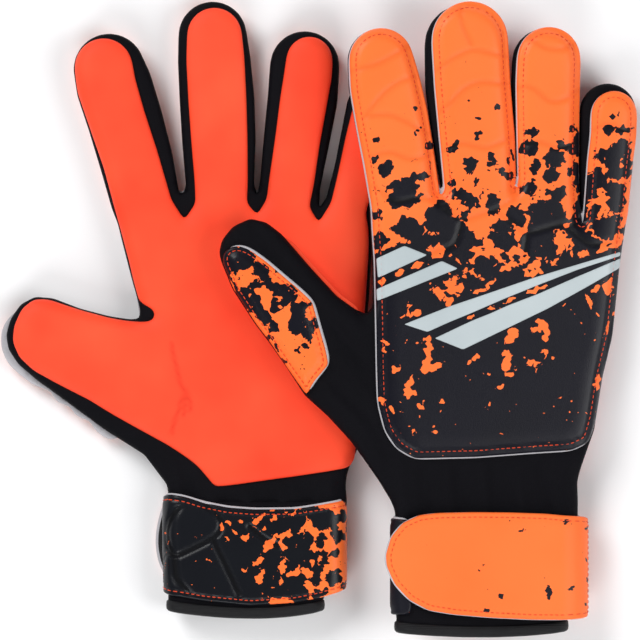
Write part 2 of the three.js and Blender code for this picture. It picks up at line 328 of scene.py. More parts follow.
def sew(name, outline, surfaces, put, seams=None, step=CLOTH_STEP, rims=RIMS, whole="hand", marks=None):
    """Closed pieces of one panel, one for the hand and one past each seam, named name_part.
    Marks are named values over the cloth, kept on its points for the print and the painted groove shade to
    follow."""
    seams = seams or {}
    parts = [whole, *seams]
    spots, triangles, part = lay_out(outline, list(seams.values()), step, rims)
    top, bottom = surfaces(spots)
    count = len(spots)
    edge_use = {}
    for number, face in enumerate(triangles):
        for a, b in zip(face, np.roll(face, -1)):
            edge_use[(int(a), int(b))] = number
    shared = np.abs(top - bottom) < 1e-3
    lower = np.where(shared, np.arange(count), np.arange(count) + count)
    rim_faces = [(a, b, edge_use[(a, b)]) for a, b in edge_use if (b, a) not in edge_use]
    walls = []
    owners = []
    for a, b, number in rim_faces:
        for face in ((lower[a], lower[b], b), (lower[a], b, a)):
            if len(set(int(corner) for corner in face)) == 3:
                walls.append([int(corner) for corner in face])
                owners.append(part[number])
    skin = np.vstack([triangles, lower[triangles[:, ::-1]], np.array(walls, int).reshape(-1, 3)])
    skin_part = np.concatenate([part, part, np.array(owners, int)])
    # The whole panel's normals are kept on its parts, so that no seam shows while the glove lies flat.
    laid = np.zeros((count * 2, 3))
    upper_all = put(spots, top, parts[0])
    lower_all = put(spots, bottom, parts[0])
    laid[:count] = upper_all
    laid[count:] = lower_all
    corners = laid[skin]
    face_normals = np.cross(corners[:, 1] - corners[:, 0], corners[:, 2] - corners[:, 0])
    normals = np.zeros_like(laid)
    for corner in range(3):
        np.add.at(normals, skin[:, corner], face_normals)
    normals /= np.maximum(np.linalg.norm(normals, axis=1), 1e-15)[:, None]
    marked = {label_name: mark(spots) for label_name, mark in (marks or {}).items()}
    pieces = {}
    for label, part_name in enumerate(parts):
        faces = skin[skin_part == label]
        caps = []
        for (a, b), number in edge_use.items():
            other = edge_use.get((b, a))
            if other is not None and part[number] == label and part[other] != label:
                caps += [face for face in ((lower[a], lower[b], b), (lower[a], b, a)) if len(set(face)) == 3]
        caps = np.array(caps, int).reshape(-1, 3)
        used, renumbered = np.unique(np.vstack([faces, caps]), return_inverse=True)
        renumbered = renumbered.reshape(-1, 3)
        above = used < count
        own = np.where(above, used, used - count)
        places = put(spots[own], np.where(above, top[own], bottom[own]), part_name)
        mesh = bpy.data.meshes.new(f"{name}_{part_name}")
        mesh.from_pydata(places.tolist(), [], renumbered.tolist())
        mesh.polygons.foreach_set("use_smooth", [True] * len(mesh.polygons))
        corner_normals = normals[used][renumbered[:len(faces)]].reshape(-1, 3)
        if len(caps):
            cap = places[renumbered[len(faces):]]
            cap_normals = np.cross(cap[:, 1] - cap[:, 0], cap[:, 2] - cap[:, 0])
            cap_normals /= np.maximum(np.linalg.norm(cap_normals, axis=1), 1e-15)[:, None]
            corner_normals = np.vstack([corner_normals, np.repeat(cap_normals, 3, axis=0)])
        mesh.normals_split_custom_set(corner_normals.tolist())
        for label_name, mark in marked.items():
            attribute = mesh.attributes.new(label_name, "FLOAT", "POINT")
            attribute.data.foreach_set("value", mark[own].astype(np.float32))
        piece = bpy.data.objects.new(f"{name}_{part_name}", mesh)
        scene.collection.objects.link(piece)
        pieces[part_name] = piece
    return pieces


def bend(piece, glove, part):
    """The hand's pieces ride on it; a finger's pieces only have their bend's ends worked out and are fixed
    where they lie.
    """
    if part == "hand":
        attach(piece, f"{glove}_hand")
        return
    origin, along = (np.array(value) for value in SEAMS[glove][part])
    ends = np.array([origin, origin + along * BEND_LENGTH])
    start, end = lay_on_glove(glove)(ends, np.full(2, BEND_HEIGHT), part)
    tuple(start)
    tuple(end)
    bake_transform(piece)

OUTLINES = {
    "left": {
        "thumb_side": [(-67.5, -88), (-67.6, -78), (-68.2, -73.4), (-71.6, -69), (-78.3, -60.1),
                       (-95.9, -49), (-114.1, -35.6), (-126, -27), (-134.5, -19.8), (-139, -13),
                       (-140, -6.5), (-138, 0.5), (-133.5, 7), (-127, 10.4), (-119, 9.7), (-107, 5.1),
                       (-94, 1.7), (-85, 0.3), (-80.6, 0.6), (-80.2, 4.2), (-81.6, 10), (-83.9, 18),
                       (-86.2, 27), (-88.4, 35.6), (-90.2, 43)],
        "index": [(-77.8, 53, 15.4), (-81.9, 71, 16.4), (-86.9, 89, 16.8), (-92, 105, 17), (-94, 111.8, 16)],
        "middle": [(-44.6, 60, 15.2), (-45.1, 80, 16.4), (-45.9, 98, 16.7), (-47.2, 116, 16.2),
                   (-47.9, 126.8, 15.3)],
        "ring": [(-13.4, 60, 13.5), (-10.5, 80, 14.7), (-7.8, 98, 15.6), (-6.8, 113.4, 15.5)],
        "little": [(13.8, 52, 11.2), (17.8, 67, 11.4), (23.6, 95, 11.7)],
        "webs": [(-61.2, 56), (-28, 55.5), (-0.4, 49.5)],
        "little_side": [(23.4, 41), (23.3, 35), (22.8, 26), (21.8, 10), (20, -15), (18, -40), (16.6, -58),
                        (13.6, -64), (12, -69), (11.4, -74), (12, -80), (11.6, -88)],
        "middle_height": 9.7,
    },
    "right": {
        "thumb_side": [(33.8, -93), (33.2, -84.5), (31.4, -80.1), (26, -71.2), (19.8, -62.3), (13.7, -53.8),
                       (3.4, -42.6), (-6.8, -33.4), (-14.5, -21.5), (-22.6, -9.9), (-28.8, -1.8),
                       (-38.8, 13.6), (-43.8, 25.8), (-44.8, 30), (-43.4, 35.6), (-38.6, 41.5), (-31, 45),
                       (-23.8, 43.3), (-17, 38.1), (-4.7, 23.8), (7.5, 10.5), (16, 4.5), (20.8, 2.6),
                       (23.2, 6), (23.4, 15), (23, 26.7), (22.2, 42)],
        "index": [(36.6, 55, 15), (34.4, 71.2, 15.4), (31, 90, 15.8), (28, 104.6, 15.4), (26.4, 115, 14.3)],
        "middle": [(70.2, 60, 16.6), (69.1, 71, 17.4), (66.9, 89, 18.2), (65.1, 104, 18.5),
                   (64.5, 122.3, 18.1)],
        "ring": [(100.9, 60, 13.7), (100.4, 80, 14.3), (99.9, 104.6, 15), (100.2, 115, 14.8)],
        "little": [(126.6, 50, 11), (127.6, 71, 12.1), (127.9, 84, 12.3), (128.3, 92.8, 12.7)],
        "webs": [(52.8, 54.5), (86.6, 55.5), (115.4, 43.5)],
        "little_side": [(136.4, 45), (135.6, 40), (132.8, 22.2), (131.1, 4.5), (127.9, -13.3),
                        (124.8, -31.2), (122.2, -49), (119, -57.9), (115.9, -66.8), (114.6, -72),
                        (114.9, -80), (114.8, -93)],
        "middle_height": 10.0,
    },
}
NEOPRENE_HALF = {"left": 5.0, "right": 6.0}
NEOPRENE_ROUND = 6.5
FOLD_DEPTH = 0.9
PANEL_BASE = 3.0
CUFF_MIDDLE = {"left": 11.3, "right": 9.2}
WRIST_START = -50.0


def glove_outline(shape, thumb_side="thumb_side", little_side="little_side"):
    """Round a glove: thumb side, the four fingers with the webs between them, and the little side."""
    points = [np.array(point, float) for point in shape[thumb_side]]
    for number, finger in enumerate(FINGERS):
        points += finger_edge(shape[finger])
        if number < 3:
            points.append(np.array(shape["webs"][number], float))
    return points + [np.array(point, float) for point in shape[little_side]]


def middle_height(glove, spots):
    """The height of a glove's middle, which shifts at the wrist to meet its cuff."""
    level = OUTLINES[glove]["middle_height"]
    return level + (CUFF_MIDDLE[glove] - level) * ease((WRIST_START - spots[:, 1]) / 28)


def neoprene_half(glove, spots):
    """How far the neoprene stands from the glove's middle, over its rounded sides and wrist folds."""
    distance = edge_distance(spots, neoprene_outline[glove])
    distance = np.where(inside(spots, neoprene_outline[glove]), distance, 0)
    return NEOPRENE_HALF[glove] * swell(distance, NEOPRENE_ROUND)


def folds(spots, covers, distance):
    """Soft creases in the bare neoprene, slanting from the thumb's web and upright at the wrist."""
    bare = np.ones(len(spots))
    for cover in covers:
        clear = np.where(inside(spots, cover), 0, edge_distance(spots, cover))
        bare *= ease((clear - 0.8) / 5)
    x, y = spots.T
    slant = ease((y + 70) / 40)
    across = x + slant * (0.75 * y + 45)
    waves = np.sin(across * 0.36 + 0.9 * np.sin(y * 0.06)) + 0.5 * np.sin(across * 0.83 + 1.1 + 0.05 * y)
    return FOLD_DEPTH * waves * bare * swell(distance, 10, 2.0)


# Where a panel will lie over the neoprene's upper face, so that no fold starts under it.
NEOPRENE_COVERED = {
    "left": [np.array([(-46.8, -74.2), (-67.9, -55.6), (-102.8, -35.6), (-136, -14), (-134, 4), (-121, 9),
                       (-94, 1), (-75, 0), (-89, 43), (-110, 112), (-47, 142), (-5, 128), (36, 100), (22, 42),
                       (20, 10), (16, -55), (13, -65.6)])],
    "right": [np.array([(42, -61.4), (28.9, -49.2), (25.2, -21.9), (23.2, 42.3), (12, 115), (66, 144),
                        (102, 132), (142, 95), (136, 43), (130, -7), (122.8, -44), (112, -57.9)]),
              np.array([(-6, -33.2), (-22, -9.9), (-38.2, 13.6), (-43.2, 25.8), (-35.6, 32.8), (-17, 20),
                        (-3.4, 8), (3.8, -19.6)])],
}
neoprene_outline = {glove: soft_outline(glove_outline(OUTLINES[glove]), 1.1) for glove in OUTLINES}
neoprene = {}
for glove in OUTLINES:
    def faces(spots):
        half = neoprene_half(glove, spots)
        level = middle_height(glove, spots)
        creases = folds(spots, NEOPRENE_COVERED[glove], edge_distance(spots, neoprene_outline[glove]))
        return level + half + creases, level - half

    neoprene[glove] = sew(f"{glove}_neoprene", neoprene_outline[glove], faces, lay_on_glove(glove),
                          SEAMS[glove])
    for part, piece in neoprene[glove].items():
        bend(piece, glove, part)
        if part == "hand":
            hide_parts(f"{glove}_little_side_gusset", f"{glove}_thumb_side_gusset",
                        f"{glove}_index_side_gusset", f"{glove}_palm_lining")
        else:
            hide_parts(f"{glove}_{part}_gusset")


def colour(code):
    """A paint colour from its web code, for a shader's socket."""
    shares = [int(code[place:place + 2], 16) / 255 for place in (1, 3, 5)]
    return (*[s / 12.92 if s <= 0.04045 else ((s + 0.055) / 1.055) ** 2.4 for s in shares], 1)


def sum_node(tree, operation, *values):
    """A maths node of that operation over sockets or plain numbers."""
    node = tree.nodes.new("ShaderNodeMath")
    node.operation = operation
    for socket, value in zip(node.inputs, values):
        if isinstance(value, (int, float)):
            socket.default_value = value
        else:
            tree.links.new(value, socket)
    return node.outputs[0]


def pattern(tree, kind, point, scale, **settings):
    """A noise or cell texture over a point socket, at a scale in patches to the millimetre."""
    node = tree.nodes.new(kind)
    tree.links.new(point, node.inputs["Vector"])
    if isinstance(scale, (int, float)):
        node.inputs["Scale"].default_value = scale
    else:
        tree.links.new(scale, node.inputs["Scale"])
    for label, value in settings.items():
        node.inputs[label.capitalize()].default_value = value
    return node


def effect(name, inputs, outputs):
    """An empty shader group with those inputs and outputs, and its two end nodes."""
    group = bpy.data.node_groups.new(name, "ShaderNodeTree")
    for direction, sockets in (("INPUT", inputs), ("OUTPUT", outputs)):
        for label, kind in sockets:
            group.interface.new_socket(label, in_out=direction, socket_type=f"NodeSocket{kind}")
    return group, group.nodes.new("NodeGroupInput"), group.nodes.new("NodeGroupOutput")


def use(tree, group, **inputs):
    """Places a shader group in a material, with its inputs set or wired."""
    node = tree.nodes.new("ShaderNodeGroup")
    node.node_tree = group
    for label, value in inputs.items():
        socket = node.inputs[label.replace("_", " ").capitalize()]
        if isinstance(value, bpy.types.NodeSocket):
            tree.links.new(value, socket)
        else:
            socket.default_value = value
    return node


def finish_coat(name, roughness, sheen=0.0, coat=0.0, specular=0.5):
    """A material with its millimetre point socket; returns material, tree, shader and point."""
    made = bpy.data.materials.new(name)
    made.use_nodes = True
    tree = made.node_tree
    shader = tree.nodes["Principled BSDF"]
    shader.inputs["Roughness"].default_value = roughness
    shader.inputs["Sheen Weight"].default_value = sheen
    shader.inputs["Sheen Roughness"].default_value = 0.5
    shader.inputs["Coat Weight"].default_value = coat
    shader.inputs["Coat Roughness"].default_value = 0.25
    shader.inputs["Specular IOR Level"].default_value = specular
    spot = tree.nodes.new("ShaderNodeTexCoord")
    to_mm = tree.nodes.new("ShaderNodeMapping")
    to_mm.inputs["Scale"].default_value = (1 / MM, 1 / MM, 1 / MM)
    tree.links.new(spot.outputs["Object"], to_mm.inputs["Vector"])
    return made, tree, shader, to_mm.outputs["Vector"]


def blend_colours(tree, share, first, second):
    """A colour between two, by a mask."""
    node = tree.nodes.new("ShaderNodeMix")
    node.data_type = "RGBA"
    sockets = [socket for socket in node.inputs if socket.type == "RGBA"]
    for socket, value in zip(sockets, (first, second)):
        if isinstance(value, bpy.types.NodeSocket):
            tree.links.new(value, socket)
        else:
            socket.default_value = value
    tree.links.new(share, node.inputs[0])
    return [socket for socket in node.outputs if socket.type == "RGBA"][0]


def raise_surface(tree, shader, height, depth, strength=1.0):
    """Lets a height in millimetres lift the surface under the light."""
    node = tree.nodes.new("ShaderNodeBump")
    node.inputs["Strength"].default_value = strength
    node.inputs["Distance"].default_value = depth * MM
    tree.links.new(height, node.inputs["Height"])
    tree.links.new(node.outputs["Normal"], shader.inputs["Normal"])


# Grain: fine pores or fibres with a slow drift of tone, shared by every finish.
grain, grain_in, grain_out = effect(
    "surface_grain", [("Point", "Vector"), ("Size", "Float")],
    [("Height", "Float"), ("Drift", "Float")])
finer = sum_node(grain, "DIVIDE", 1.0, grain_in.outputs["Size"])
pores = pattern(grain, "ShaderNodeTexNoise", grain_in.outputs["Point"], finer, detail=3.0, roughness=0.6)
drift = pattern(grain, "ShaderNodeTexNoise", grain_in.outputs["Point"], 0.026, detail=2.0, roughness=0.5)
grain.links.new(pores.outputs["Fac"], grain_out.inputs["Height"])
grain.links.new(drift.outputs["Fac"], grain_out.inputs["Drift"])

# Knit: rows of small loops, as on the jersey over neoprene and on the lining.
knit, knit_in, knit_out = effect(
    "knit_loops", [("Point", "Vector"), ("Loop", "Float")], [("Height", "Float")])
split = knit.nodes.new("ShaderNodeSeparateXYZ")
knit.links.new(knit_in.outputs["Point"], split.inputs[0])
turns = sum_node(knit, "DIVIDE", 2 * math.pi, knit_in.outputs["Loop"])
across = sum_node(knit, "SINE", sum_node(knit, "MULTIPLY", split.outputs["X"], turns))
along_row = sum_node(knit, "MULTIPLY", split.outputs["Y"], turns)
upward = sum_node(knit, "SINE", sum_node(knit, "MULTIPLY_ADD", across, 0.8, along_row))
loops = sum_node(knit, "MULTIPLY_ADD", sum_node(knit, "MULTIPLY", across, upward), 0.5, 0.5)
knit.links.new(loops, knit_out.inputs["Height"])

neoprene_cloth, tree, shader, point = finish_coat("black_neoprene", 0.75, sheen=0.0, specular=0.06)
fine = use(tree, grain, point=point, size=0.5)
rows = use(tree, knit, point=point, loop=0.75)
tone = blend_colours(tree, fine.outputs["Drift"], colour("#050507"), colour("#0D0C11"))
tone = blend_colours(tree, sum_node(tree, "MULTIPLY", rows.outputs["Height"], 0.3), tone, colour("#18171D"))
tree.links.new(tone, shader.inputs["Base Color"])
fuzz = sum_node(tree, "MULTIPLY_ADD", fine.outputs["Height"], 0.16, 0.6)
tree.links.new(fuzz, shader.inputs["Roughness"])
raise_surface(tree, shader, sum_node(tree, "ADD", rows.outputs["Height"], fine.outputs["Height"]), 0.09)
for pieces in neoprene.values():
    for piece in pieces.values():
        piece.data.materials.append(neoprene_cloth)

# ---------------------------------------------------------------------------
# Latex palms. A soft orange-red latex foam, about three millimetres thick, is
# sewn flat onto the palm side and follows each finger. The left glove's palm is
# seen; the right glove's palm is under it and reaches nearly to its edges.
PALM_CUT = {
    "thumb_side": [(-46.8, -74.2), (-51, -69), (-55, -64.5), (-61, -60.1), (-67.9, -55.6), (-80, -49),
                   (-92, -42.3), (-102.8, -35.6), (-116, -28.9), (-127.5, -22.6), (-134, -16.5),
                   (-136.9, -9.5), (-136.2, -2.5), (-132.8, 5), (-127.5, 9.2), (-121, 9.2), (-107, 4.5),
                   (-94, 1.0), (-86, -0.4), (-79, -0.9), (-75, -0.5), (-73.3, 1.8), (-74.2, 4.7),
                   (-77.8, 6.5), (-80.6, 8.4), (-83.2, 18), (-85.3, 27), (-87.6, 35.6), (-89.6, 43)],
    "index": [(-78.4, 50, 12.7), (-84.3, 71.2, 12.5), (-90.3, 89, 12.7), (-95.2, 104.5, 13.2),
              (-96.4, 112.6, 13)],
    "middle": [(-44, 52, 11.4), (-44, 62, 11.8), (-44.8, 80, 12.5), (-45.7, 98, 12.9), (-46.6, 116, 12.9),
               (-47, 127, 12.2)],
    "ring": [(-14.3, 52, 9.6), (-12.6, 62, 10), (-10, 80, 10), (-7.2, 98, 10.5), (-5.2, 110, 10.6),
             (-4.7, 116, 10.3)],
    "little": [(12.6, 50, 8), (16, 62, 8.5), (20, 80, 8.7), (24, 96, 8.7)],
    "webs": [(-60.4, 44.6), (-28, 46.8), (-0.6, 43.4)],
    "little_side": [(21.4, 42), (21.8, 35), (21.4, 26), (20.4, 10), (18.6, -15), (17, -40), (16, -55),
                    (15.4, -62), (13, -65.6), (4, -67.3), (-10, -69.4), (-24, -71.3), (-38, -73.3)],
}
LATEX_EDGE = 0.55
LATEX_SWELL = {"left": 2.95, "right": 3.4}
LATEX_REACH = 9.0
SEWN_IN = 0.35
PALM_CREASES = [
    [(-66.1, -9.9), (-65.2, -16), (-63.6, -21.3), (-62.6, -27), (-59.9, -32.7), (-60, -38), (-60.8, -43)],
    [(-61.6, -34), (-62.6, -40), (-65.2, -46), (-66.1, -51)],
    [(-60.4, -30), (-57.4, -36), (-57.8, -41)],
]
RIGHT_PALM_INSET = 3.0
PALM_STEP = {"left": 1.6, "right": CLOTH_STEP}


def off_middle(glove, spots, side, lift):
    """A height that far off the neoprene's upper side, or off its lower side when side is -1."""
    return middle_height(glove, spots) + side * (np.maximum(neoprene_half(glove, spots), PANEL_BASE) + lift)


def pressed_lines(points, lines, width):
    """1 along each line and 0 away from it, with soft sides."""
    smooth = [smooth_line(line) for line in lines]
    starts = np.vstack([line[:-1] for line in smooth])
    ends = np.vstack([line[1:] for line in smooth])
    return np.exp(-(stretch_distance(points, starts, ends) / width) ** 2)


def smooth_line(points, step=2.5):
    """An open line through given points, with its bends eased."""
    dense = even_points(np.array(points, float), 0.5)
    padded = np.vstack([np.repeat(dense[:1], 6, axis=0), dense, np.repeat(dense[-1:], 6, axis=0)])
    eased = sum(np.roll(padded, -shift, axis=0) for shift in range(-6, 7))[6:-6] / 13
    return even_points(eased, step)


def groove_shade_mark(lines, width):
    """How deep the pressed lines are at each point, for painted shade to darken the colour in them."""
    def mark(spots):
        return pressed_lines(spots, lines, width) if lines else np.zeros(len(spots))
    return mark


palm_outline = {
    "left": soft_outline(glove_outline(PALM_CUT)),
    "right": inset(neoprene_outline["right"], RIGHT_PALM_INSET),
}
seen_edge = neoprene_outline["right"]
shows = ease((seen_edge[:, 0] + 22) / 10) * ease((21 - seen_edge[:, 0]) / 6)
shows *= (seen_edge[:, 1] > 2) & (seen_edge[:, 1] < 45)
shows *= seen_edge @ np.array([0.68, 0.73]) > 5
palm_outline["right"] = seen_edge + inward(seen_edge) * (RIGHT_PALM_INSET - 4.6 * shows)[:, None]
palm_outline["right"] = palm_outline["right"][palm_outline["right"][:, 1] > -70]
palm_outline["right"] = soft_outline(palm_outline["right"])
PALM_FACE = {"left": 1, "right": -1}
palms = {}
for glove, side in PALM_FACE.items():
    def faces(spots):
        distance = edge_distance(spots, palm_outline[glove])
        creases = 0.5 * pressed_lines(spots, PALM_CREASES, 1.1) if glove == "left" else 0
        fullness = LATEX_SWELL[glove] * swell(distance, LATEX_REACH, 2.0)
        outer = off_middle(glove, spots, side, LATEX_EDGE + fullness - creases)
        inner = off_middle(glove, spots, side, -SEWN_IN)
        return (outer, inner) if side > 0 else (inner, outer)

    # The palm creases carry a mark that darkens the latex colour there as painted shade.
    crease_shade = groove_shade_mark(PALM_CREASES if glove == "left" else None, 0.9)
    palms[glove] = sew(f"{glove}_palm", palm_outline[glove], faces, lay_on_glove(glove), SEAMS[glove],
                       PALM_STEP[glove], marks={"painted_groove_shade": crease_shade})
    for part, piece in palms[glove].items():
        bend(piece, glove, part)
        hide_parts(f"{glove}_palm_latex" if part == "hand" else f"{glove}_{part}_palm_strip")


def mark_value(tree, name):
    """A value kept on the cloth's points, as a socket."""
    node = tree.nodes.new("ShaderNodeAttribute")
    node.attribute_name = name
    return node.outputs["Fac"]


latex, tree, shader, point = finish_coat("orange_red_latex", 0.62, sheen=0.0, specular=0.25)
fine = use(tree, grain, point=point, size=0.35)
tone = blend_colours(tree, fine.outputs["Drift"], colour("#F6280A"), colour("#FF5A36"))
tone = blend_colours(tree, sum_node(tree, "MULTIPLY", fine.outputs["Height"], 0.14), tone, colour("#FF6A45"))
# Painted shade: the latex colour darkens to deep red along the palm creases.
crease_shade = sum_node(tree, "MULTIPLY", mark_value(tree, "painted_groove_shade"), 0.5)
tone = blend_colours(tree, crease_shade, tone, colour("#B81E06"))
tree.links.new(tone, shader.inputs["Base Color"])
tree.links.new(sum_node(tree, "MULTIPLY_ADD", fine.outputs["Height"], 0.2, 0.52), shader.inputs["Roughness"])
raise_surface(tree, shader, fine.outputs["Height"], 0.05)
for pieces in palms.values():
    for piece in pieces.values():
        piece.data.materials.append(latex)

# ---------------------------------------------------------------------------
# Printed backs. A white foam layer with a printed, glossy skin over it is sewn
# to the back of the hand and four fingers. A row of stitches presses its edge
# down, and shallow curved lines are moulded into it. Its cut edge shows white.
BACK_CUT = {
    "left": {
        "thumb_side": [(-62, -61.5), (-70, -56), (-74.5, -46), (-78, -20), (-79.6, 0), (-82.4, 18),
                       (-85.4, 32), (-88.4, 43)],
        "index": [(-77.8, 55, 14.4), (-81.9, 71, 15.4), (-86.9, 89, 15.8), (-92, 105, 16), (-94, 111.8, 15)],
        "middle": [(-44.6, 60, 14.2), (-45.1, 80, 15.4), (-45.9, 98, 15.7), (-47.2, 116, 15.2),
                   (-47.9, 126.8, 14.3)],
        "ring": [(-13.4, 60, 12.5), (-10.5, 80, 13.7), (-7.8, 98, 14.6), (-6.8, 113.4, 14.5)],
        "little": [(13.8, 52, 10.2), (17.8, 67, 10.4), (23.6, 95, 10.7)],
        "webs": [(-61.2, 54.5), (-28, 54), (-0.4, 47)],
        "little_side": [(22.4, 42), (22.3, 35), (21.8, 26), (20.8, 10), (19, -15), (17, -40), (14.5, -53),
                        (7, -58.5), (-20, -61), (-48, -63)],
    },
    "right": {
        "thumb_side": [(42, -61.4), (34, -56.8), (28.9, -49.2), (25.7, -36.7), (25.2, -21.9), (24.8, 3.2),
                       (24.3, 26.7), (23.2, 42.3)],
        "index": [(38.2, 52, 15.4), (35.2, 71.2, 15.7), (31.9, 90, 16), (29, 104.6, 15.6),
                  (27.2, 115.3, 14.3)],
        "middle": [(71.4, 58, 15.9), (70, 80, 16.7), (67.8, 104.6, 16.8), (66.7, 124.8, 16.9)],
        "ring": [(101.6, 62, 13.4), (101.5, 80, 13.7), (101.5, 104.6, 14.2), (101.9, 116.4, 14.1)],
        "little": [(127.4, 48, 9.8), (129.3, 71, 10.1), (130.7, 82, 10.2), (131, 91.8, 10.3)],
        "webs": [(54.1, 56.3), (87, 58.4), (116.8, 42)],
        "little_side": [(136.2, 43), (133.6, 26), (130.2, -7.2), (125.7, -25.6), (122.8, -44),
                        (119.8, -54.2), (112, -57.9), (95, -58.9), (69.5, -60.8)],
    },
}
PRESSED_LINES = [
    [(13, 110), (26, 113.5), (34, 118), (40, 122)],
    [(19, 89), (23.4, 94.7), (29.3, 101.5), (37, 106.7), (45, 108.4)],
    [(19, 90), (31, 91.3), (38.7, 87.9), (49, 82)],
    [(22, 72), (31, 75), (40, 71), (51, 74)],
    [(51, 110.5), (60, 116.9), (67.6, 120.3), (84, 117)],
    [(62, 139), (63.4, 130), (67.6, 122)],
    [(52, 92), (57, 95), (63.4, 102.4), (70.2, 105.8), (84, 105)],
    [(53, 74), (62, 79), (74, 76), (87, 82)],
    [(90, 127), (94, 124.5), (100.8, 120.3), (108.5, 120.3), (116, 124)],
    [(87, 103), (94, 104), (102.5, 96.4), (109.3, 98.1), (116, 103)],
    [(88, 76), (97, 80), (106, 76), (115, 80)],
    [(121, 84), (128, 88), (136, 84), (142, 86)],
    [(23, 60), (33, 52), (47, 55), (54, 50)],
    [(54, 50), (63, 44), (78, 49), (87, 54)],
    [(63, 44), (60, 33), (49, 30)],
    [(78, 49), (92, 38), (108, 43), (116.5, 42)],
    [(92, 38), (90, 27)],
    [(108, 43), (120, 33), (134, 36)],
]
SKIN_STEP = 1.3
STITCH_INSET = 2.8
FOAM_LIFT = 1.1
PILLOW = 1.3
THUMB_CUT = {
    "left": [(-90, -52.2), (-93.4, -52.6), (-97.6, -50), (-100.8, -46.8), (-101, -43.6), (-103.2, -43.2),
             (-107.4, -42.6), (-110, -39.6), (-110.2, -36.8), (-112.2, -36.6), (-116.4, -36.4),
             (-118.4, -33.4), (-117.6, -31), (-119.6, -30), (-126, -28.8), (-133, -23.6), (-138.6, -18.4),
             (-141.4, -12), (-141.6, -5), (-139.4, 0.4), (-134, 5.4), (-127, 8), (-119, 6.6), (-106, 1),
             (-96, -6), (-88, -16), (-82.5, -30), (-82, -44)],
    "right": [(-6, -33.2), (-14, -21.8), (-22, -9.9), (-28.2, -1.8), (-38.2, 13.6), (-43.2, 25.8),
              (-42.6, 29.8), (-39.4, 32.4), (-35.6, 32.8), (-31.3, 31.2), (-24.1, 26.1), (-17, 20),
              (-9.8, 14), (-3.4, 8), (-0.8, -1.8), (2.2, -12), (3.8, -19.6), (-2.7, -27.3)],
}


def skin_lift(glove, spots, outline, lines):
    """How far the skin stands over the neoprene: rounded edge, stitch groove, pillow, pressed lines."""
    distance = edge_distance(spots, outline)
    groove = np.exp(-((distance - STITCH_INSET) / 0.7) ** 2)
    pillow = PILLOW * swell(distance - STITCH_INSET + 0.4, 8, 2.0)
    lift = FOAM_LIFT + 1.3 * swell(distance, 1.2) - 0.55 * groove + pillow
    if lines:
        deep = ease((distance - STITCH_INSET) / 2)
        lift -= 0.62 * deep * pressed_lines(spots, lines, 0.85)
    return lift


BARS = {
    "short_upper": [(24.9, 27.2), (37.4, 32.9), (47.6, 28.8), (25.6, 18.6)],
    "short_lower": [(24.9, 13.6), (54, 26.2), (61.2, 22.8), (25.2, 8.4)],
    "long_upper": [(37.2, -1.9), (57.2, 6), (71.8, 10.9), (94.6, 18.7), (118.8, 26), (133.8, 30.4),
                   (133.8, 28.6), (114.4, 22.3), (96.8, 15.5), (83.2, 10), (75.7, 6.8), (66.9, 3),
                   (57.2, -1), (47.6, -5.3)],
    "long_lower": [(50.8, -8.1), (66.9, -0.5), (75.7, 3), (83.2, 6.4), (96.8, 11.6), (114.4, 19.3),
                   (133.8, 27.5), (133.4, 23.2), (118.8, 14.8), (101.2, 5.1), (83.6, -3.4), (63.4, -13.1)],
}
PRINT_SHIFT = {"left": (-110.0, 0.0), "right": (0.0, 0.0)}
INK_HEIGHTS = [-75, -30, 0, 20, 34, 55, 66, 80, 95, 110]
INK_COVERS = [1.1, 1.1, 1.02, 0.86, 0.42, 0.4, 0.3, 0.18, 0.08, 0.0]
SPLASH_SWIRL = 0.62
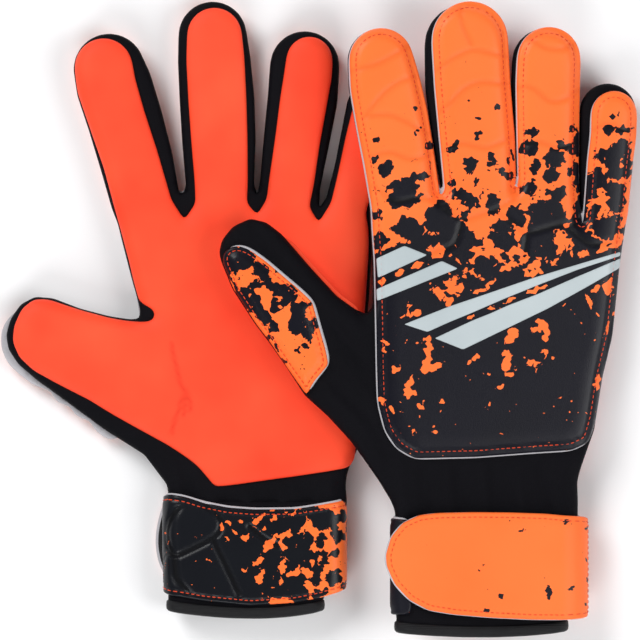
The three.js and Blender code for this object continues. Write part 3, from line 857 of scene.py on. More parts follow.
# Large blots of ink and bare drips on a printed back: middle, half length, half width and turn.
INK_BLOTS = [
    (109, -51, 6.5, 4.5, 20), (36.6, 55.7, 6.6, 6, 0), (52.8, 45.1, 6.6, 5.2, 70),
    (61.6, 35.9, 8.4, 6.2, -30), (65.2, 53.9, 6.4, 2, -35), (76.6, 50.9, 5, 2.4, 85),
    (81, 41.6, 4.6, 2.4, 10), (81, 35.6, 5.4, 3.6, -15), (86.7, 46, 4.6, 2.6, -50),
    (101.2, 45.6, 7.4, 6.8, 30), (96.8, 34.1, 7, 5.4, -20), (115.7, 46.5, 9.6, 3, 85),
    (120.6, 58.8, 5.2, 3.2, 80), (127.6, 41.2, 5, 4.2, 30), (132.6, 54.4, 6, 3.4, 80),
    (121.5, 47.8, 3, 2.2, 60), (117.9, 35, 6.2, 3.6, -25), (39.6, 40.3, 5.4, 4, -20),
    (45.8, 34.6, 6, 3, 10), (92.9, 58.3, 3.8, 1.6, 15), (26.4, 34.8, 3.4, 2.6, 80), (25.6, 46.5, 2, 1.7, 0),
    (28.9, 66.7, 3.5, 2.8, 70), (24.7, 79.9, 2.2, 1.8, 0), (41.8, 93.7, 1.5, 1.3, 0),
    (48.9, 77.7, 2.2, 1.8, 40), (45.5, 64.1, 2.3, 1.8, 0), (24.4, 70.9, 1.7, 1.3, 0),
    (78.7, 94.8, 1.8, 1.7, 0), (66.4, 96.9, 1.2, 1, 0), (70, 82, 2.3, 1.4, 65), (59.6, 77.3, 3.4, 1.6, 60),
    (66.4, 69.2, 3.8, 2.6, 80), (76.6, 72.2, 1.7, 1.4, 0), (69.4, 61.5, 1.8, 1.4, 0),
    (83, 64.1, 3, 1.1, -20), (92.8, 76.5, 3.8, 2.8, 20), (94, 83.3, 2.7, 2, 0), (104.3, 72.2, 4.6, 3.8, 0),
    (103, 64.5, 3.2, 2.8, 0), (95.7, 67.1, 3.6, 1.6, 70), (110.2, 76.5, 6, 2, -25), (114.5, 79, 5, 2, 80),
    (112.3, 85, 1.8, 1.5, 0), (115.3, 62.8, 5.2, 2.2, 85), (128.1, 84.5, 3, 2, 0),
    (134.9, 84.5, 3.6, 1.5, 0), (130.2, 90.5, 1.4, 1.1, 60), (133.6, 75.6, 5, 4.2, 60),
    (127.2, 72.2, 5.2, 3.2, -35), (123, 62.8, 6, 2.4, 80), (136.6, 68.8, 5.2, 1.8, 85),
    (131.5, 65.4, 3.5, 2.4, 0), (129, 58.6, 3.2, 2.4, 0), (40.4, 62, 5, 1.6, 20), (106, 56, 3.6, 2.2, 30),
    (112.5, 66.5, 3, 2, 60),
]
BARE_DRIPS = [
    (48, -13.4, 8.4, 1.3, 88), (47.6, -20.6, 3.2, 2.9, 0), (51.4, -20.4, 1.8, 0.9, 0),
    (39.8, -27.6, 4.8, 1.3, 68), (39.4, -32.4, 3.2, 1.1, -20), (84.8, -6.4, 4.2, 2.8, 70),
    (82.8, -18.6, 4.8, 1.6, 80), (96, -4.4, 2.2, 1.3, 10), (99.4, -2.2, 3.4, 1.6, -40),
    (100.4, -6.4, 2.4, 1.2, 70), (68.2, -16.9, 2.3, 1.3, 40), (28.6, -11.6, 3, 1.8, 75),
    (33, -22.2, 1.8, 1.2, 60), (80.6, -30, 1.3, 1.1, 0), (83.8, -24.4, 1.8, 0.9, -10),
    (128.2, 15.4, 3.4, 1.9, 70), (122.2, 13.6, 1.9, 1.5, 0), (119.3, 8.6, 1.5, 1.1, 80),
    (123.4, -28.3, 3, 1.2, 85), (52.8, -36.7, 1.4, 1.1, 0), (45.4, -38.4, 1.3, 1, 0),
    (32.6, -39.8, 1.3, 1.1, 0), (27.4, -36, 1.4, 1, 70), (43, 24.6, 2, 1.1, 70), (35.2, 20.9, 2.4, 1.3, 25),
    (28, 17, 2.2, 1.3, 25), (60.6, 14, 3.6, 1, 12), (42.9, 2.6, 3.2, 1.3, 15), (71.3, 12.8, 2.6, 0.9, 12),
    (94.6, 20.1, 5.6, 0.9, 14), (96.8, 13.6, 5.4, 1.2, 22), (83.2, 8.4, 3.2, 1.3, 25),
    (75.7, 5, 1.7, 1.5, 0), (66.9, 1.6, 2.8, 1.3, 20), (57.2, 7.2, 1.8, 1.1, 25),
    (68.6, 31.4, 2.4, 0.9, -20), (31.6, 56.6, 1.2, 1.1, 0), (60.6, 32.6, 1.9, 1.1, -20),
    (97, 34.6, 1.8, 1.2, 0),
]
THUMB_BLOTS = [
    (-36.5, 27.3, 7, 5.2, 0), (-41.4, 22, 3.2, 1.5, 70), (-25.9, 21, 4, 2.6, -50),
    (-30.3, 14.4, 5, 1.6, 28), (-19.7, 13.7, 6, 1.8, -25), (-13.4, 10.6, 3.8, 2.4, 60),
    (-21.2, 8.1, 1.5, 1.3, 0), (-28.1, 8.1, 4, 1.4, -75), (-32.6, 8.1, 5, 2, -55),
    (-24.7, 1.3, 4, 2.2, -30), (-20.3, -2.5, 3.2, 1.5, -60), (-9.7, 4.4, 3.4, 3, 0),
    (-9.7, -1.9, 3.8, 3.2, 80), (-3.4, -1.9, 2.8, 2.5, 0), (-6.6, 6.6, 3.2, 1.3, 10),
    (-4.7, -7.5, 2.2, 1.3, -60), (-6.9, -11.5, 1.4, 1.2, 30), (-10.3, -13.1, 1.3, 1.1, 0),
    (-16.1, -18.7, 1.2, 1, 0), (-22.2, -8.1, 1.5, 1, 0),
]


def blots_at(places, blots, swirl_reach=SPLASH_SWIRL):
    """1 well inside a blot and 0 outside them all, with soft rims and a ragged, splashed shape."""
    found = np.zeros(len(places))
    x, y = places.T
    swirl = np.stack([np.sin(1.25 * y + 1.4 * np.sin(0.8 * x)) + 0.6 * np.sin(2.9 * y + 1.1 * x),
                      np.sin(1.15 * x + 1.5 * np.sin(0.9 * y)) + 0.6 * np.sin(2.6 * x - 1.3 * y)], axis=1)
    places = places + swirl_reach * swirl
    for x, y, half_length, half_width, turn in blots:
        lean = math.radians(turn)
        gap = places - (x, y)
        along = (gap[:, 0] * math.cos(lean) + gap[:, 1] * math.sin(lean)) / half_length
        across = (gap[:, 1] * math.cos(lean) - gap[:, 0] * math.sin(lean)) / half_width
        found = np.maximum(found, np.clip((1.3 - np.hypot(along, across)) / 0.6, 0, 1))
    return found


def back_ink(glove):
    """Ink cover and listed blots on a printed back: bare fingertips, splashed knuckles, black below."""
    def unshifted(spots):
        return spots - np.array(PRINT_SHIFT[glove])

    def cover(spots):
        x, y = unshifted(spots).T
        return np.interp(y - 0.06 * (x - 70), INK_HEIGHTS, INK_COVERS)

    def blots(spots):
        places = unshifted(spots)
        nearest = np.full(len(spots), 99.0)
        for bar in BARS.values():
            corners = even_points(np.array([*bar, bar[0]], float), 3)[:-1]
            nearest = np.minimum(nearest, edge_distance(places, corners))
        bed = 1 - ease((nearest - 0.8) / 1.8)
        bare = blots_at(places, BARE_DRIPS)
        return np.maximum(bed, blots_at(places, INK_BLOTS)) - np.where(nearest < 2.2, 1.6, 1.0) * bare
    return {"ink_cover": cover, "ink_blots": blots}


def thumb_ink(glove):
    """Ink on a thumb panel: inkiest at the tip, nearly bare at the root."""
    origin, along = (np.array(value) for value in SEAMS[glove]["thumb"])

    def cover(spots):
        far = (spots - origin) @ along
        return np.interp(far, [-28, -8, 10, 44], [0.06, 0.14, 0.42, 0.5])

    def blots(spots):
        places = spots
        if glove == "left":
            far = (spots - origin) @ along
            across = (spots - origin) @ np.array([along[1], -along[0]])
            other, other_along = (np.array(value) for value in SEAMS["right"]["thumb"])
            beside = np.array([-other_along[1], other_along[0]])
            places = other + far[:, None] * other_along + across[:, None] * beside
        return blots_at(places, THUMB_BLOTS)
    return {"ink_cover": cover, "ink_blots": blots}


def back_pieces(glove, name, outline, seams, lines, whole, drift, ink):
    """The white foam and the printed skin over it, for one outline."""
    side = -PALM_FACE[glove]
    foam_outline = soft_outline(inset(outline, -0.3) + np.array(drift))

    def foam_faces(spots):
        edge = swell(edge_distance(spots, foam_outline), 0.8)
        outer = off_middle(glove, spots, side, FOAM_LIFT * edge + 0.15)
        inner = off_middle(glove, spots, side, -SEWN_IN)
        return (outer, inner) if side > 0 else (inner, outer)

    def skin_faces(spots):
        outer = off_middle(glove, spots, side, skin_lift(glove, spots, outline, lines))
        inner = off_middle(glove, spots, side, FOAM_LIFT - 0.3)
        return (outer, inner) if side > 0 else (inner, outer)

    put = lay_on_glove(glove)
    foam = sew(f"{name}_foam", foam_outline, foam_faces, put, seams, whole=whole)
    skin = sew(f"{name}_skin", outline, skin_faces, put, seams, SKIN_STEP, whole=whole,
               marks={**ink, "painted_groove_shade": groove_shade_mark(lines, 1.1)})
    for part in skin:
        for piece, slot in ((foam[part], "edge_foam"), (skin[part], "printed_shell")):
            bend(piece, glove, part)
    return foam, skin


back_outline = {glove: soft_outline(glove_outline(BACK_CUT[glove])) for glove in BACK_CUT}
back_lines = {glove: [[(x + PRINT_SHIFT[glove][0], y) for x, y in line] for line in PRESSED_LINES]
              for glove in BACK_CUT}
thumb_outline = {glove: soft_outline(THUMB_CUT[glove], 1.0) for glove in THUMB_CUT}
foams = []
skins = {}
for glove in OUTLINES:
    finger_seams = {finger: SEAMS[glove][finger] for finger in FINGERS}
    foam, skin = back_pieces(glove, f"{glove}_back", back_outline[glove], finger_seams, back_lines[glove],
                             "hand", (-0.25, -0.25), back_ink(glove))
    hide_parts(f"{glove}_backhand_foam")
    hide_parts(f"{glove}_backhand_skin")
    for finger in FINGERS:
        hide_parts(f"{glove}_{finger}_back_panel")
    thumb_foam, thumb_skin = back_pieces(glove, f"{glove}_back", thumb_outline[glove], None, None,
                                         "thumb", (0.7, 0.5) if glove == "right" else (-0.6, -0.8),
                                         thumb_ink(glove))
    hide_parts(f"{glove}_thumb_back_panel")
    foams += [*foam.values(), *thumb_foam.values()]
    skins[glove] = {**skin, **thumb_skin}

def plain_finish(name, pieces, tones, size, rough, depth, tone_from="Drift", loop=None, **coat):
    """Lays a plain grained finish on some pieces, raised in knit loops if a loop size is given."""
    made, tree, shader, point = finish_coat(name, **coat)
    fine = use(tree, grain, point=point, size=size)
    tone = blend_colours(tree, fine.outputs[tone_from], colour(tones[0]), colour(tones[1]))
    tree.links.new(tone, shader.inputs["Base Color"])
    tree.links.new(sum_node(tree, "MULTIPLY_ADD", fine.outputs["Height"], *rough), shader.inputs["Roughness"])
    raised = use(tree, knit, point=point, loop=loop) if loop else fine
    raise_surface(tree, shader, raised.outputs["Height"], depth)
    for piece in pieces:
        piece.data.materials.append(made)
    return made


white_foam = plain_finish("white_foam_edge", foams, ("#A9A7AD", "#CBC9CD"), 0.45, (0.2, 0.75), 0.15,
                          tone_from="Height", roughness=0.85, specular=0.2)

# The print: splashes of black ink over orange. More ink is let through as the cover rises.
splash, splash_in, splash_out = effect(
    "ink_splash", [("Point", "Vector"), ("Cover", "Float"), ("Blots", "Float"), ("Size", "Float")],
    [("Ink", "Float")])
where = splash_in.outputs["Point"]
stir = pattern(splash, "ShaderNodeTexNoise", where, 0.17, detail=1.2, roughness=0.5)
centred = splash.nodes.new("ShaderNodeVectorMath")
centred.operation = "MULTIPLY_ADD"
splash.links.new(stir.outputs["Color"], centred.inputs[0])
centred.inputs[1].default_value = (11, 11, 11)
centred.inputs[2].default_value = (-5.5, -5.5, -5.5)
stirred = splash.nodes.new("ShaderNodeVectorMath")
stirred.operation = "ADD"
splash.links.new(where, stirred.inputs[0])
splash.links.new(centred.outputs[0], stirred.inputs[1])
blots = sum_node(splash, "DIVIDE", 1.0, splash_in.outputs["Size"])
cells = pattern(splash, "ShaderNodeTexVoronoi", stirred.outputs[0], blots, randomness=1.0)
chance = splash.nodes.new("ShaderNodeSeparateColor")
splash.links.new(cells.outputs["Color"], chance.inputs[0])
patches = pattern(splash, "ShaderNodeTexNoise", where, 0.11, detail=2.0, roughness=0.5)
wobble = pattern(splash, "ShaderNodeTexNoise", where, 0.34, detail=1.0, roughness=0.5)
field = sum_node(splash, "MULTIPLY_ADD", patches.outputs["Fac"], 1.5, -1.0)
field = sum_node(splash, "ADD", field, sum_node(splash, "MULTIPLY", wobble.outputs["Fac"], 1.3))
field = sum_node(splash, "ADD", field, sum_node(splash, "MULTIPLY", chance.outputs[0], 0.45))
field = sum_node(splash, "SUBTRACT", field, sum_node(splash, "MULTIPLY", cells.outputs["Distance"], 0.95))
wanted = sum_node(splash, "MULTIPLY_ADD", splash_in.outputs["Cover"], -1.5, 1.12)
large = sum_node(splash, "SUBTRACT", field, wanted)
flecks = pattern(splash, "ShaderNodeTexVoronoi", stirred.outputs[0],
                 sum_node(splash, "MULTIPLY", blots, 3.1), randomness=1.0)
fleck_chance = splash.nodes.new("ShaderNodeSeparateColor")
splash.links.new(flecks.outputs["Color"], fleck_chance.inputs[0])
small = sum_node(splash, "MULTIPLY_ADD", flecks.outputs["Distance"], -1.0, -0.62)
small = sum_node(splash, "ADD", small, fleck_chance.outputs[0])
more_small = sum_node(splash, "MULTIPLY_ADD", splash_in.outputs["Cover"], 0.55, -0.28)
small = sum_node(splash, "ADD", small, more_small)
either = sum_node(splash, "MAXIMUM", large, small)
either = sum_node(splash, "MULTIPLY_ADD", splash_in.outputs["Blots"], 1.5, either)
bare_fleck = sum_node(splash, "ADD", flecks.outputs["Distance"], 0.82)
bare_fleck = sum_node(splash, "SUBTRACT", bare_fleck, fleck_chance.outputs[1])
either = sum_node(splash, "MINIMUM", either, bare_fleck)
sharp = splash.nodes.new("ShaderNodeMapRange")
sharp.inputs["From Min"].default_value = -0.012
sharp.inputs["From Max"].default_value = 0.012
splash.links.new(either, sharp.inputs["Value"])
splash.links.new(sharp.outputs["Result"], splash_out.inputs["Ink"])


def printed_skin(name, size, gloss=0.3, cell="#090918", black="#03030C"):
    """A printed, coated skin: orange under splashes of black ink, with painted shade darkening its moulded
    lines.
    """
    made, tree, shader, point = finish_coat(name, gloss, coat=0.06, specular=0.24)
    ink = use(tree, splash, point=point, cover=mark_value(tree, "ink_cover"),
              blots=mark_value(tree, "ink_blots"), size=size)
    painted_groove_shade = mark_value(tree, "painted_groove_shade")
    fine = use(tree, grain, point=point, size=0.6)
    under = blend_colours(tree, fine.outputs["Drift"], colour("#FF6A28"), colour("#FF7A38"))
    # Painted shade: the orange and the black both darken along the moulded lines and the strap cells'
    # grooves.
    under = blend_colours(tree, sum_node(tree, "MULTIPLY", painted_groove_shade, 0.28), under, colour("#D9480F"))
    over = blend_colours(tree, fine.outputs["Drift"], colour(black), colour(cell))
    over = blend_colours(tree, sum_node(tree, "MULTIPLY", painted_groove_shade, 0.9), over, colour("#020204"))
    tree.links.new(blend_colours(tree, ink.outputs["Ink"], under, over), shader.inputs["Base Color"])
    rough = sum_node(tree, "MULTIPLY_ADD", ink.outputs["Ink"], -0.1, gloss + 0.12)
    rough = sum_node(tree, "ADD", rough, sum_node(tree, "MULTIPLY", fine.outputs["Height"], 0.12))
    tree.links.new(rough, shader.inputs["Roughness"])
    ink_edge = sum_node(tree, "MULTIPLY", ink.outputs["Ink"], 0.5)
    raise_surface(tree, shader, sum_node(tree, "ADD", fine.outputs["Height"], ink_edge), 0.07)
    return made


back_print = printed_skin("printed_back", 8.5)
thumb_print = printed_skin("printed_thumb", 6.5)
for glove in skins:
    for part, piece in skins[glove].items():
        piece.data.materials.append(thumb_print if part == "thumb" else back_print)

# ---------------------------------------------------------------------------
# Silver bars. Four slanting bars of silver film are welded onto the printed back:
# two short ones from its thumb edge, and two long ones that meet at the little side.
BAR_THICKNESS = 0.4
silver_bars = []
for glove in OUTLINES:
    for name, corners in BARS.items():
        shifted = [(x + PRINT_SHIFT[glove][0], y) for x, y in corners]
        if glove == "left":
            shifted = [(max(-79.2, min(x, 19.6)), y) for x, y in shifted]
        bar_outline = soft_outline(shifted, 0.45, 0.8)

        def faces(spots):
            side = -PALM_FACE[glove]
            lift = skin_lift(glove, spots, back_outline[glove], back_lines[glove])
            edge = swell(edge_distance(spots, bar_outline), 0.5)
            outer = off_middle(glove, spots, side, lift + BAR_THICKNESS * (0.25 + 0.75 * edge))
            inner = off_middle(glove, spots, side, lift - 0.25)
            return (outer, inner) if side > 0 else (inner, outer)

        bar = sew(f"{glove}_bar_{name}", bar_outline, faces, lay_on_glove(glove), None, SKIN_STEP,
                  (0.25, 0.6))["hand"]
        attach(bar, f"{glove}_hand")
        silver_bars.append(bar)

plain_finish("silver_bars", silver_bars, ("#A4AFB3", "#BEC7CA"), 0.4, (0.2, 0.32), 0.04,
             roughness=0.42, coat=0.1, specular=0.35)

# ---------------------------------------------------------------------------
# Cuffs. Each wrist ends in an open neoprene tube with a folded binding round its
# mouth, where the hand goes in. The tube starts inside the strap, over the hand's end.
CUFF = {
    "left": {"centre": -29.1, "half_width": 38.5, "half_height": 6.0, "start": -81.0, "end": -129.6},
    "right": {"centre": 74.1, "half_width": 40.5, "half_height": 6.5, "start": -87.5, "end": -138.6},
}
CUFF_WALL = 2.0
CUFF_ROWS = 26
CUFF_STEPS = 150
MOUTH_BOW = {"left": 3.2, "right": 2.2}
MOUTH_TAPER = {"left": 8.2, "right": 5.0}


def round_wrist(glove, run, height, runs_on=False):
    """The place across the wrist at a run from the middle of its top, that high over the cuff."""
    size = CUFF[glove]
    radius = size["half_height"]
    flat = size["half_width"] - radius
    run_out = np.abs(run)
    way = np.where(run < 0, -1.0, 1.0)
    bent = np.clip((run_out - flat) / radius, 0, math.pi)
    straight = np.minimum(run_out, flat)
    past = np.maximum(run_out - flat - math.pi * radius, 0)
    if runs_on:
        bent = np.where(run < 0, 0, bent)
        straight = np.where(run < 0, run_out, straight)
        past = np.where(run < 0, 0, past)
    across = size["centre"] + way * (straight + (radius + height) * np.sin(bent) - past)
    return across, (radius + height) * np.cos(bent)


def lay_round_wrist(glove, face, runs_on=False):
    """Like lay_on_glove, for a sheet wrapped round the cuff from the middle of its upper or lower face."""
    flat_put = lay_on_glove(glove)

    def put(spots, height, part):
        across, up = round_wrist(glove, spots[:, 0], height, runs_on)
        placed = np.stack([across, spots[:, 1]], axis=1)
        return flat_put(placed, CUFF_MIDDLE[glove] + face * up, "hand")
    return put


def ring_mesh(name, rows):
    """A smooth closed skin over rings of places, row after row, and from the last row to the first."""
    count = len(rows[0])
    faces = []
    for row in range(len(rows)):
        below = (row + 1) % len(rows)
        for spot in range(count):
            beside = (spot + 1) % count
            faces.append((row * count + spot, row * count + beside,
                          below * count + beside, below * count + spot))
    mesh = bpy.data.meshes.new(name)
    mesh.from_pydata(np.vstack(rows).tolist(), [], faces)
    mesh.polygons.foreach_set("use_smooth", [True] * len(faces))
    piece = bpy.data.objects.new(name, mesh)
    scene.collection.objects.link(piece)
    return piece


def face_out(piece):
    """Turns a closed piece's faces outwards."""
    bpy.ops.object.select_all(action="DESELECT")
    bpy.context.view_layer.objects.active = piece
    piece.select_set(True)
    bpy.ops.object.mode_set(mode="EDIT")
    bpy.ops.mesh.select_all(action="SELECT")
    bpy.ops.mesh.normals_make_consistent(inside=False)
    bpy.ops.object.mode_set(mode="OBJECT")
    piece.select_set(False)


def tube(glove, name, profile):
    """A tube round the wrist from its section: points of (y, height over the cuff), a closed loop."""
    size = CUFF[glove]
    flat = size["half_width"] - size["half_height"]
    length = 4 * flat + 2 * math.pi * size["half_height"]
    runs = (np.arange(CUFF_STEPS) / CUFF_STEPS - 0.5) * length
    put = lay_round_wrist(glove, 1)
    rows = []
    for y, height in profile:
        low = ease((size["start"] - 12 - y) / 30)
        across, up = round_wrist(glove, runs, 0)
        bow = MOUTH_BOW[glove] * (1 - ((across - size["centre"]) / size["half_width"]) ** 2) * low
        ripple = 0.35 * low * np.sin(runs * 0.33 + 1.3 * np.sin(runs * 0.11))
        ring = put(np.stack([runs, y - bow + 0 * runs], axis=1), height + ripple, "hand")
        little_half = np.clip((across - size["centre"]) / size["half_width"], 0, 1)
        taper = ease((size["end"] + 16 - y) / 12) * little_half
        ring[:, 0] -= MOUTH_TAPER[glove] * taper * MM
        rows.append(ring)
    piece = ring_mesh(name, rows)
    face_out(piece)
    return piece


BINDING_WIDTH = 5.0
bindings = []
for glove, size in CUFF.items():
    outer = [(y, 0.0) for y in np.linspace(size["start"], size["end"] + BINDING_WIDTH - 1, CUFF_ROWS)]
    inner = [(y, -CUFF_WALL) for y, height in reversed(outer)]
    ribbed = [(y, 0.16 * math.sin(y * 1.9) * (glove == "right")) for y, height in outer]
    cuff = tube(glove, f"{glove}_cuff", ribbed + inner)
    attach(cuff, f"{glove}_hand")
    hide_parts(f"{glove}_wrist_neoprene")
    low = size["end"]
    lip = [(low + BINDING_WIDTH, 0.1), (low + BINDING_WIDTH - 0.5, 0.75), (low + 2.5, 0.95),
           (low + 0.9, 0.75), (low + 0.1, 0.0), (low - 0.2, -0.8), (low + 0.1, -1.7), (low + 0.9, -2.45), (low + 2.5, -2.7),
           (low + BINDING_WIDTH - 0.5, -2.5), (low + BINDING_WIDTH, -2.1)]
    binding = tube(glove, f"{glove}_cuff_binding_tape", lip)
    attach(binding, f"{glove}_hand")
    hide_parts(f"{glove}_cuff_binding")
    bindings.append(binding)
    cuff.data.materials.append(neoprene_cloth)

plain_finish("black_binding_tape", bindings, ("#050507", "#0E0E12"), 0.4, (0.3, 0.38), 0.14,
             loop=0.9, roughness=0.5, specular=0.25)

# ---------------------------------------------------------------------------
# Straps. A wide elastic strap goes round each cuff: a padded wrap over the palm side
# and both edges, and a free flap with a rounded tip that closes over the back with
# hook and loop tape. Both have a printed skin over white foam, stitched at the edge,
# and the flap has a thin black lining on its inner face.
WRAP_CUT = {
    "left": [(-52, -79.5), (-44, -78.5), (-37, -77.6), (-31, -78.6), (-23, -81.2), (-12, -83.4), (0, -84.3),
             (18, -84.1), (30, -82.2), (38, -80.6), (44, -79.6), (50, -79.2), (53, -81), (53, -117),
             (49, -119.5), (42, -119.6), (36, -121.4), (30, -123.4), (18, -125.8), (-2, -127.1), (-23, -125),
             (-38, -122.4), (-44, -120.6), (-52, -119.6), (-54, -117), (-54, -82)],
    "right": [(-54, -88.5), (-30, -87), (0, -86.2), (30, -87), (54, -88.5), (55, -92), (55, -128),
              (54, -130.6), (30, -131), (0, -131.6), (-30, -131), (-54, -130.6), (-55, -128), (-55, -92)],
}
FLAP_CUT = {
    "left": [(-33, -77.2), (-25, -79), (-10, -80.2), (15, -80.6), (30, -81), (36, -81.4), (37.5, -83),
             (37.5, -120), (36, -121.6), (30, -122), (15, -123), (-10, -123.6), (-25, -122.8),
             (-33, -120.2), (-38.5, -116), (-42.4, -108.6), (-43.8, -101), (-43.6, -95), (-42.4, -88.6),
             (-40.4, -82.4), (-37.4, -76.6)],
    "right": [(-30, -86.4), (-22, -85.5), (-6, -85.2), (10, -85.4), (26, -86), (34, -86.8), (42, -87.6),
              (46, -88.4), (46, -131.6), (42, -132.6), (34, -133.2), (20, -133), (2, -132), (-14, -130.6),
              (-26, -128.6), (-34.5, -124), (-41, -117), (-44.6, -109), (-45, -104), (-42.6, -96),
              (-37.4, -89.8)],
}
WRAP_LIFT = 0.3
FLAP_LIFT = 2.9
STRAP_FOAM = 0.9
STRAP_SKIN = 1.5
STRAP_STITCH = 2.2
FLAP_SWIRL = 0.25
CELL_STEP = 0.75
FLAP_ROOT_Y = -105.0
FLAP_BEND = 14.0
FLAP_BEND_HEIGHT = 4.0
STRAP_CELLS = [
    [(-23.1, -81.1), (-19, -84.4), (-14.2, -89.4), (-15, -94), (-18.6, -97.4), (-27.2, -101.7),
     (-35, -105.4)],
    [(-33.2, -83), (-36.7, -89), (-38.3, -94.6), (-37.7, -98.6), (-35, -105.4)],
    [(-18.6, -97.4), (-13.6, -107.6), (-7.7, -120.2), (-6.8, -122.6)],
    [(-35, -105.4), (-34.5, -115.2), (-31, -119.4), (-28.6, -122)],
    [(-35, -105.4), (-38.6, -102.4), (-41.4, -107.9), (-42, -118)],
    [(-2.7, -91.4), (4.6, -97.9), (12, -101)],
]
WRAP_BLOTS = [
    (31.1, -89.1, 4.6, 4.2, 0), (37.7, -87.6, 2.4, 2, 80), (35.2, -93.7, 2, 1.3, 70),
    (36.7, -96.7, 2.9, 2.2, 30), (29.6, -97.3, 3, 2, 80), (27.5, -113.6, 5, 2, 80),
    (30.8, -107, 3.4, 1.4, 80), (34.7, -114.6, 3.4, 2.6, 70), (34.7, -103.4, 1.6, 1.3, 0),
    (39.3, -117.7, 2.2, 1.4, 70), (29, -121.6, 4, 1.6, 20), (41, -92, 2.2, 1.3, 80),
]
WRAP_DRIPS = [
    (1.5, -88.8, 3.2, 1.2, 38), (-11.6, -90.1, 1.9, 0.9, -75), (-14.8, -91.4, 2, 1, 55),
    (-5.7, -89.3, 1.1, 1, 0), (8.6, -88.8, 1.7, 0.9, 75), (4.3, -93.2, 1.7, 0.9, 0),
    (-4.4, -97, 1.7, 1.4, -40), (-8.5, -94.4, 1.6, 0.9, -70), (-12.1, -97.8, 1.2, 0.8, 0),
    (13.2, -95.5, 4, 1.3, 10), (6.6, -99.8, 3.8, 1.5, 50), (12.2, -100, 3.2, 1, -65),
    (1.5, -107, 3, 1.4, 40), (2.5, -114.1, 3.2, 1.7, 80), (12.4, -109.5, 3.2, 1.4, 80),
    (17.3, -112.6, 3, 1, 30), (22.9, -112.1, 3.6, 1.2, -38), (12.2, -125.2, 6.6, 1.3, 2),
    (-4.7, -111.1, 1.5, 0.8, 0), (24.2, -90.9, 1.4, 1, 0), (26.4, -101.6, 1.3, 1, 60),
    (24.6, -118.6, 4, 1.2, -55),
]
FLAP_BLOTS = [
    (27.4, -121, 3.0, 1.3, 88), (6.3, -122.2, 1.3, 0.8, 10), (-0.2, -129, 1.3, 0.8, 20),
    (15.5, -93.6, 1.1, 0.7, 10), (35.2, -89.4, 1.4, 0.8, 80), (41.5, -92.6, 1.4, 0.9, 40),
    (41, -106.7, 0.9, 0.7, 0), (42.4, -115.4, 1.7, 1.1, 80), (36.2, -119.4, 0.9, 0.6, 60),
    (-2.4, -109, 0.9, 0.5, 60), (-3.6, -111.4, 0.7, 0.5, 40), (43.4, -121, 2, 1, 80),
    (41, -126, 0.9, 0.6, 70),
]


def strap_lift(spots, outline, lines):
    """How far a strap's skin stands over its lower face: rounded edge, stitch groove, pressed cells."""
    distance = edge_distance(spots, outline)
    groove = 0.4 * np.exp(-((distance - STRAP_STITCH) / 0.55) ** 2)
    crown = 0.5 * swell(distance, 1.0) + 0.5 * swell(distance, 7, 2.0)
    lift = STRAP_FOAM - 0.1 + STRAP_SKIN * crown - groove
    if lines:
        lift += 0.1 - 1.0 * pressed_lines(spots, lines, 1.3) + 0.8 * pressed_lines(spots, lines, 0.5)
    return lift


def strap_ink(kind):
    """Ink over a strap: the left wrap goes from black to splashed orange, the flaps are nearly bare."""
    covers = {
        "left_wrap": ([-60, -16, 16, 24, 30, 60], [1.4, 1.3, 1.0, 0.86, 0.34, 0.3], WRAP_BLOTS, WRAP_DRIPS),
        "right_wrap": ([-60, -32, -26, 60], [1.3, 1.3, 0.1, 0.1], [], []),
        "left_flap": ([-60, 60], [0.02, 0.06], FLAP_BLOTS, []),
        "right_flap": ([-60, 60], [0.0, 0.04], FLAP_BLOTS, []),
    }
    runs, ink, blots, drips = covers[kind]
    swirl_reach = FLAP_SWIRL if "flap" in kind else SPLASH_SWIRL
    return {
        "ink_cover": lambda spots: np.interp(spots[:, 0], runs, ink),
        "ink_blots": lambda spots: blots_at(spots, blots, swirl_reach) - 1.05 * blots_at(spots, drips),
    }


def strap_pieces(name, outline, start, put, lines, foam_shift):
    """A strap's white foam and its printed skin, wrapped round the wrist."""
    foam_outline = soft_outline(inset(outline, -0.1) + np.array(foam_shift))

    def foam_faces(spots):
        return (start + STRAP_FOAM * (0.4 + 0.6 * swell(edge_distance(spots, foam_outline), 0.7)),
                start + 0.3 + 0 * spots[:, 0])

    def skin_faces(spots):
        return start + strap_lift(spots, outline, lines), start + STRAP_FOAM - 0.3 + 0 * spots[:, 0]

    foam = sew(f"{name}_foam", foam_outline, foam_faces, put, None, SKIN_STEP, whole="layer")["layer"]
    step = CELL_STEP if lines else SKIN_STEP
    skin = sew(f"{name}_skin", outline, skin_faces, put, None, step, whole="layer",
               marks={**strap_ink(name), "painted_groove_shade": groove_shade_mark(lines, 1.0)})["layer"]
    return foam, skin


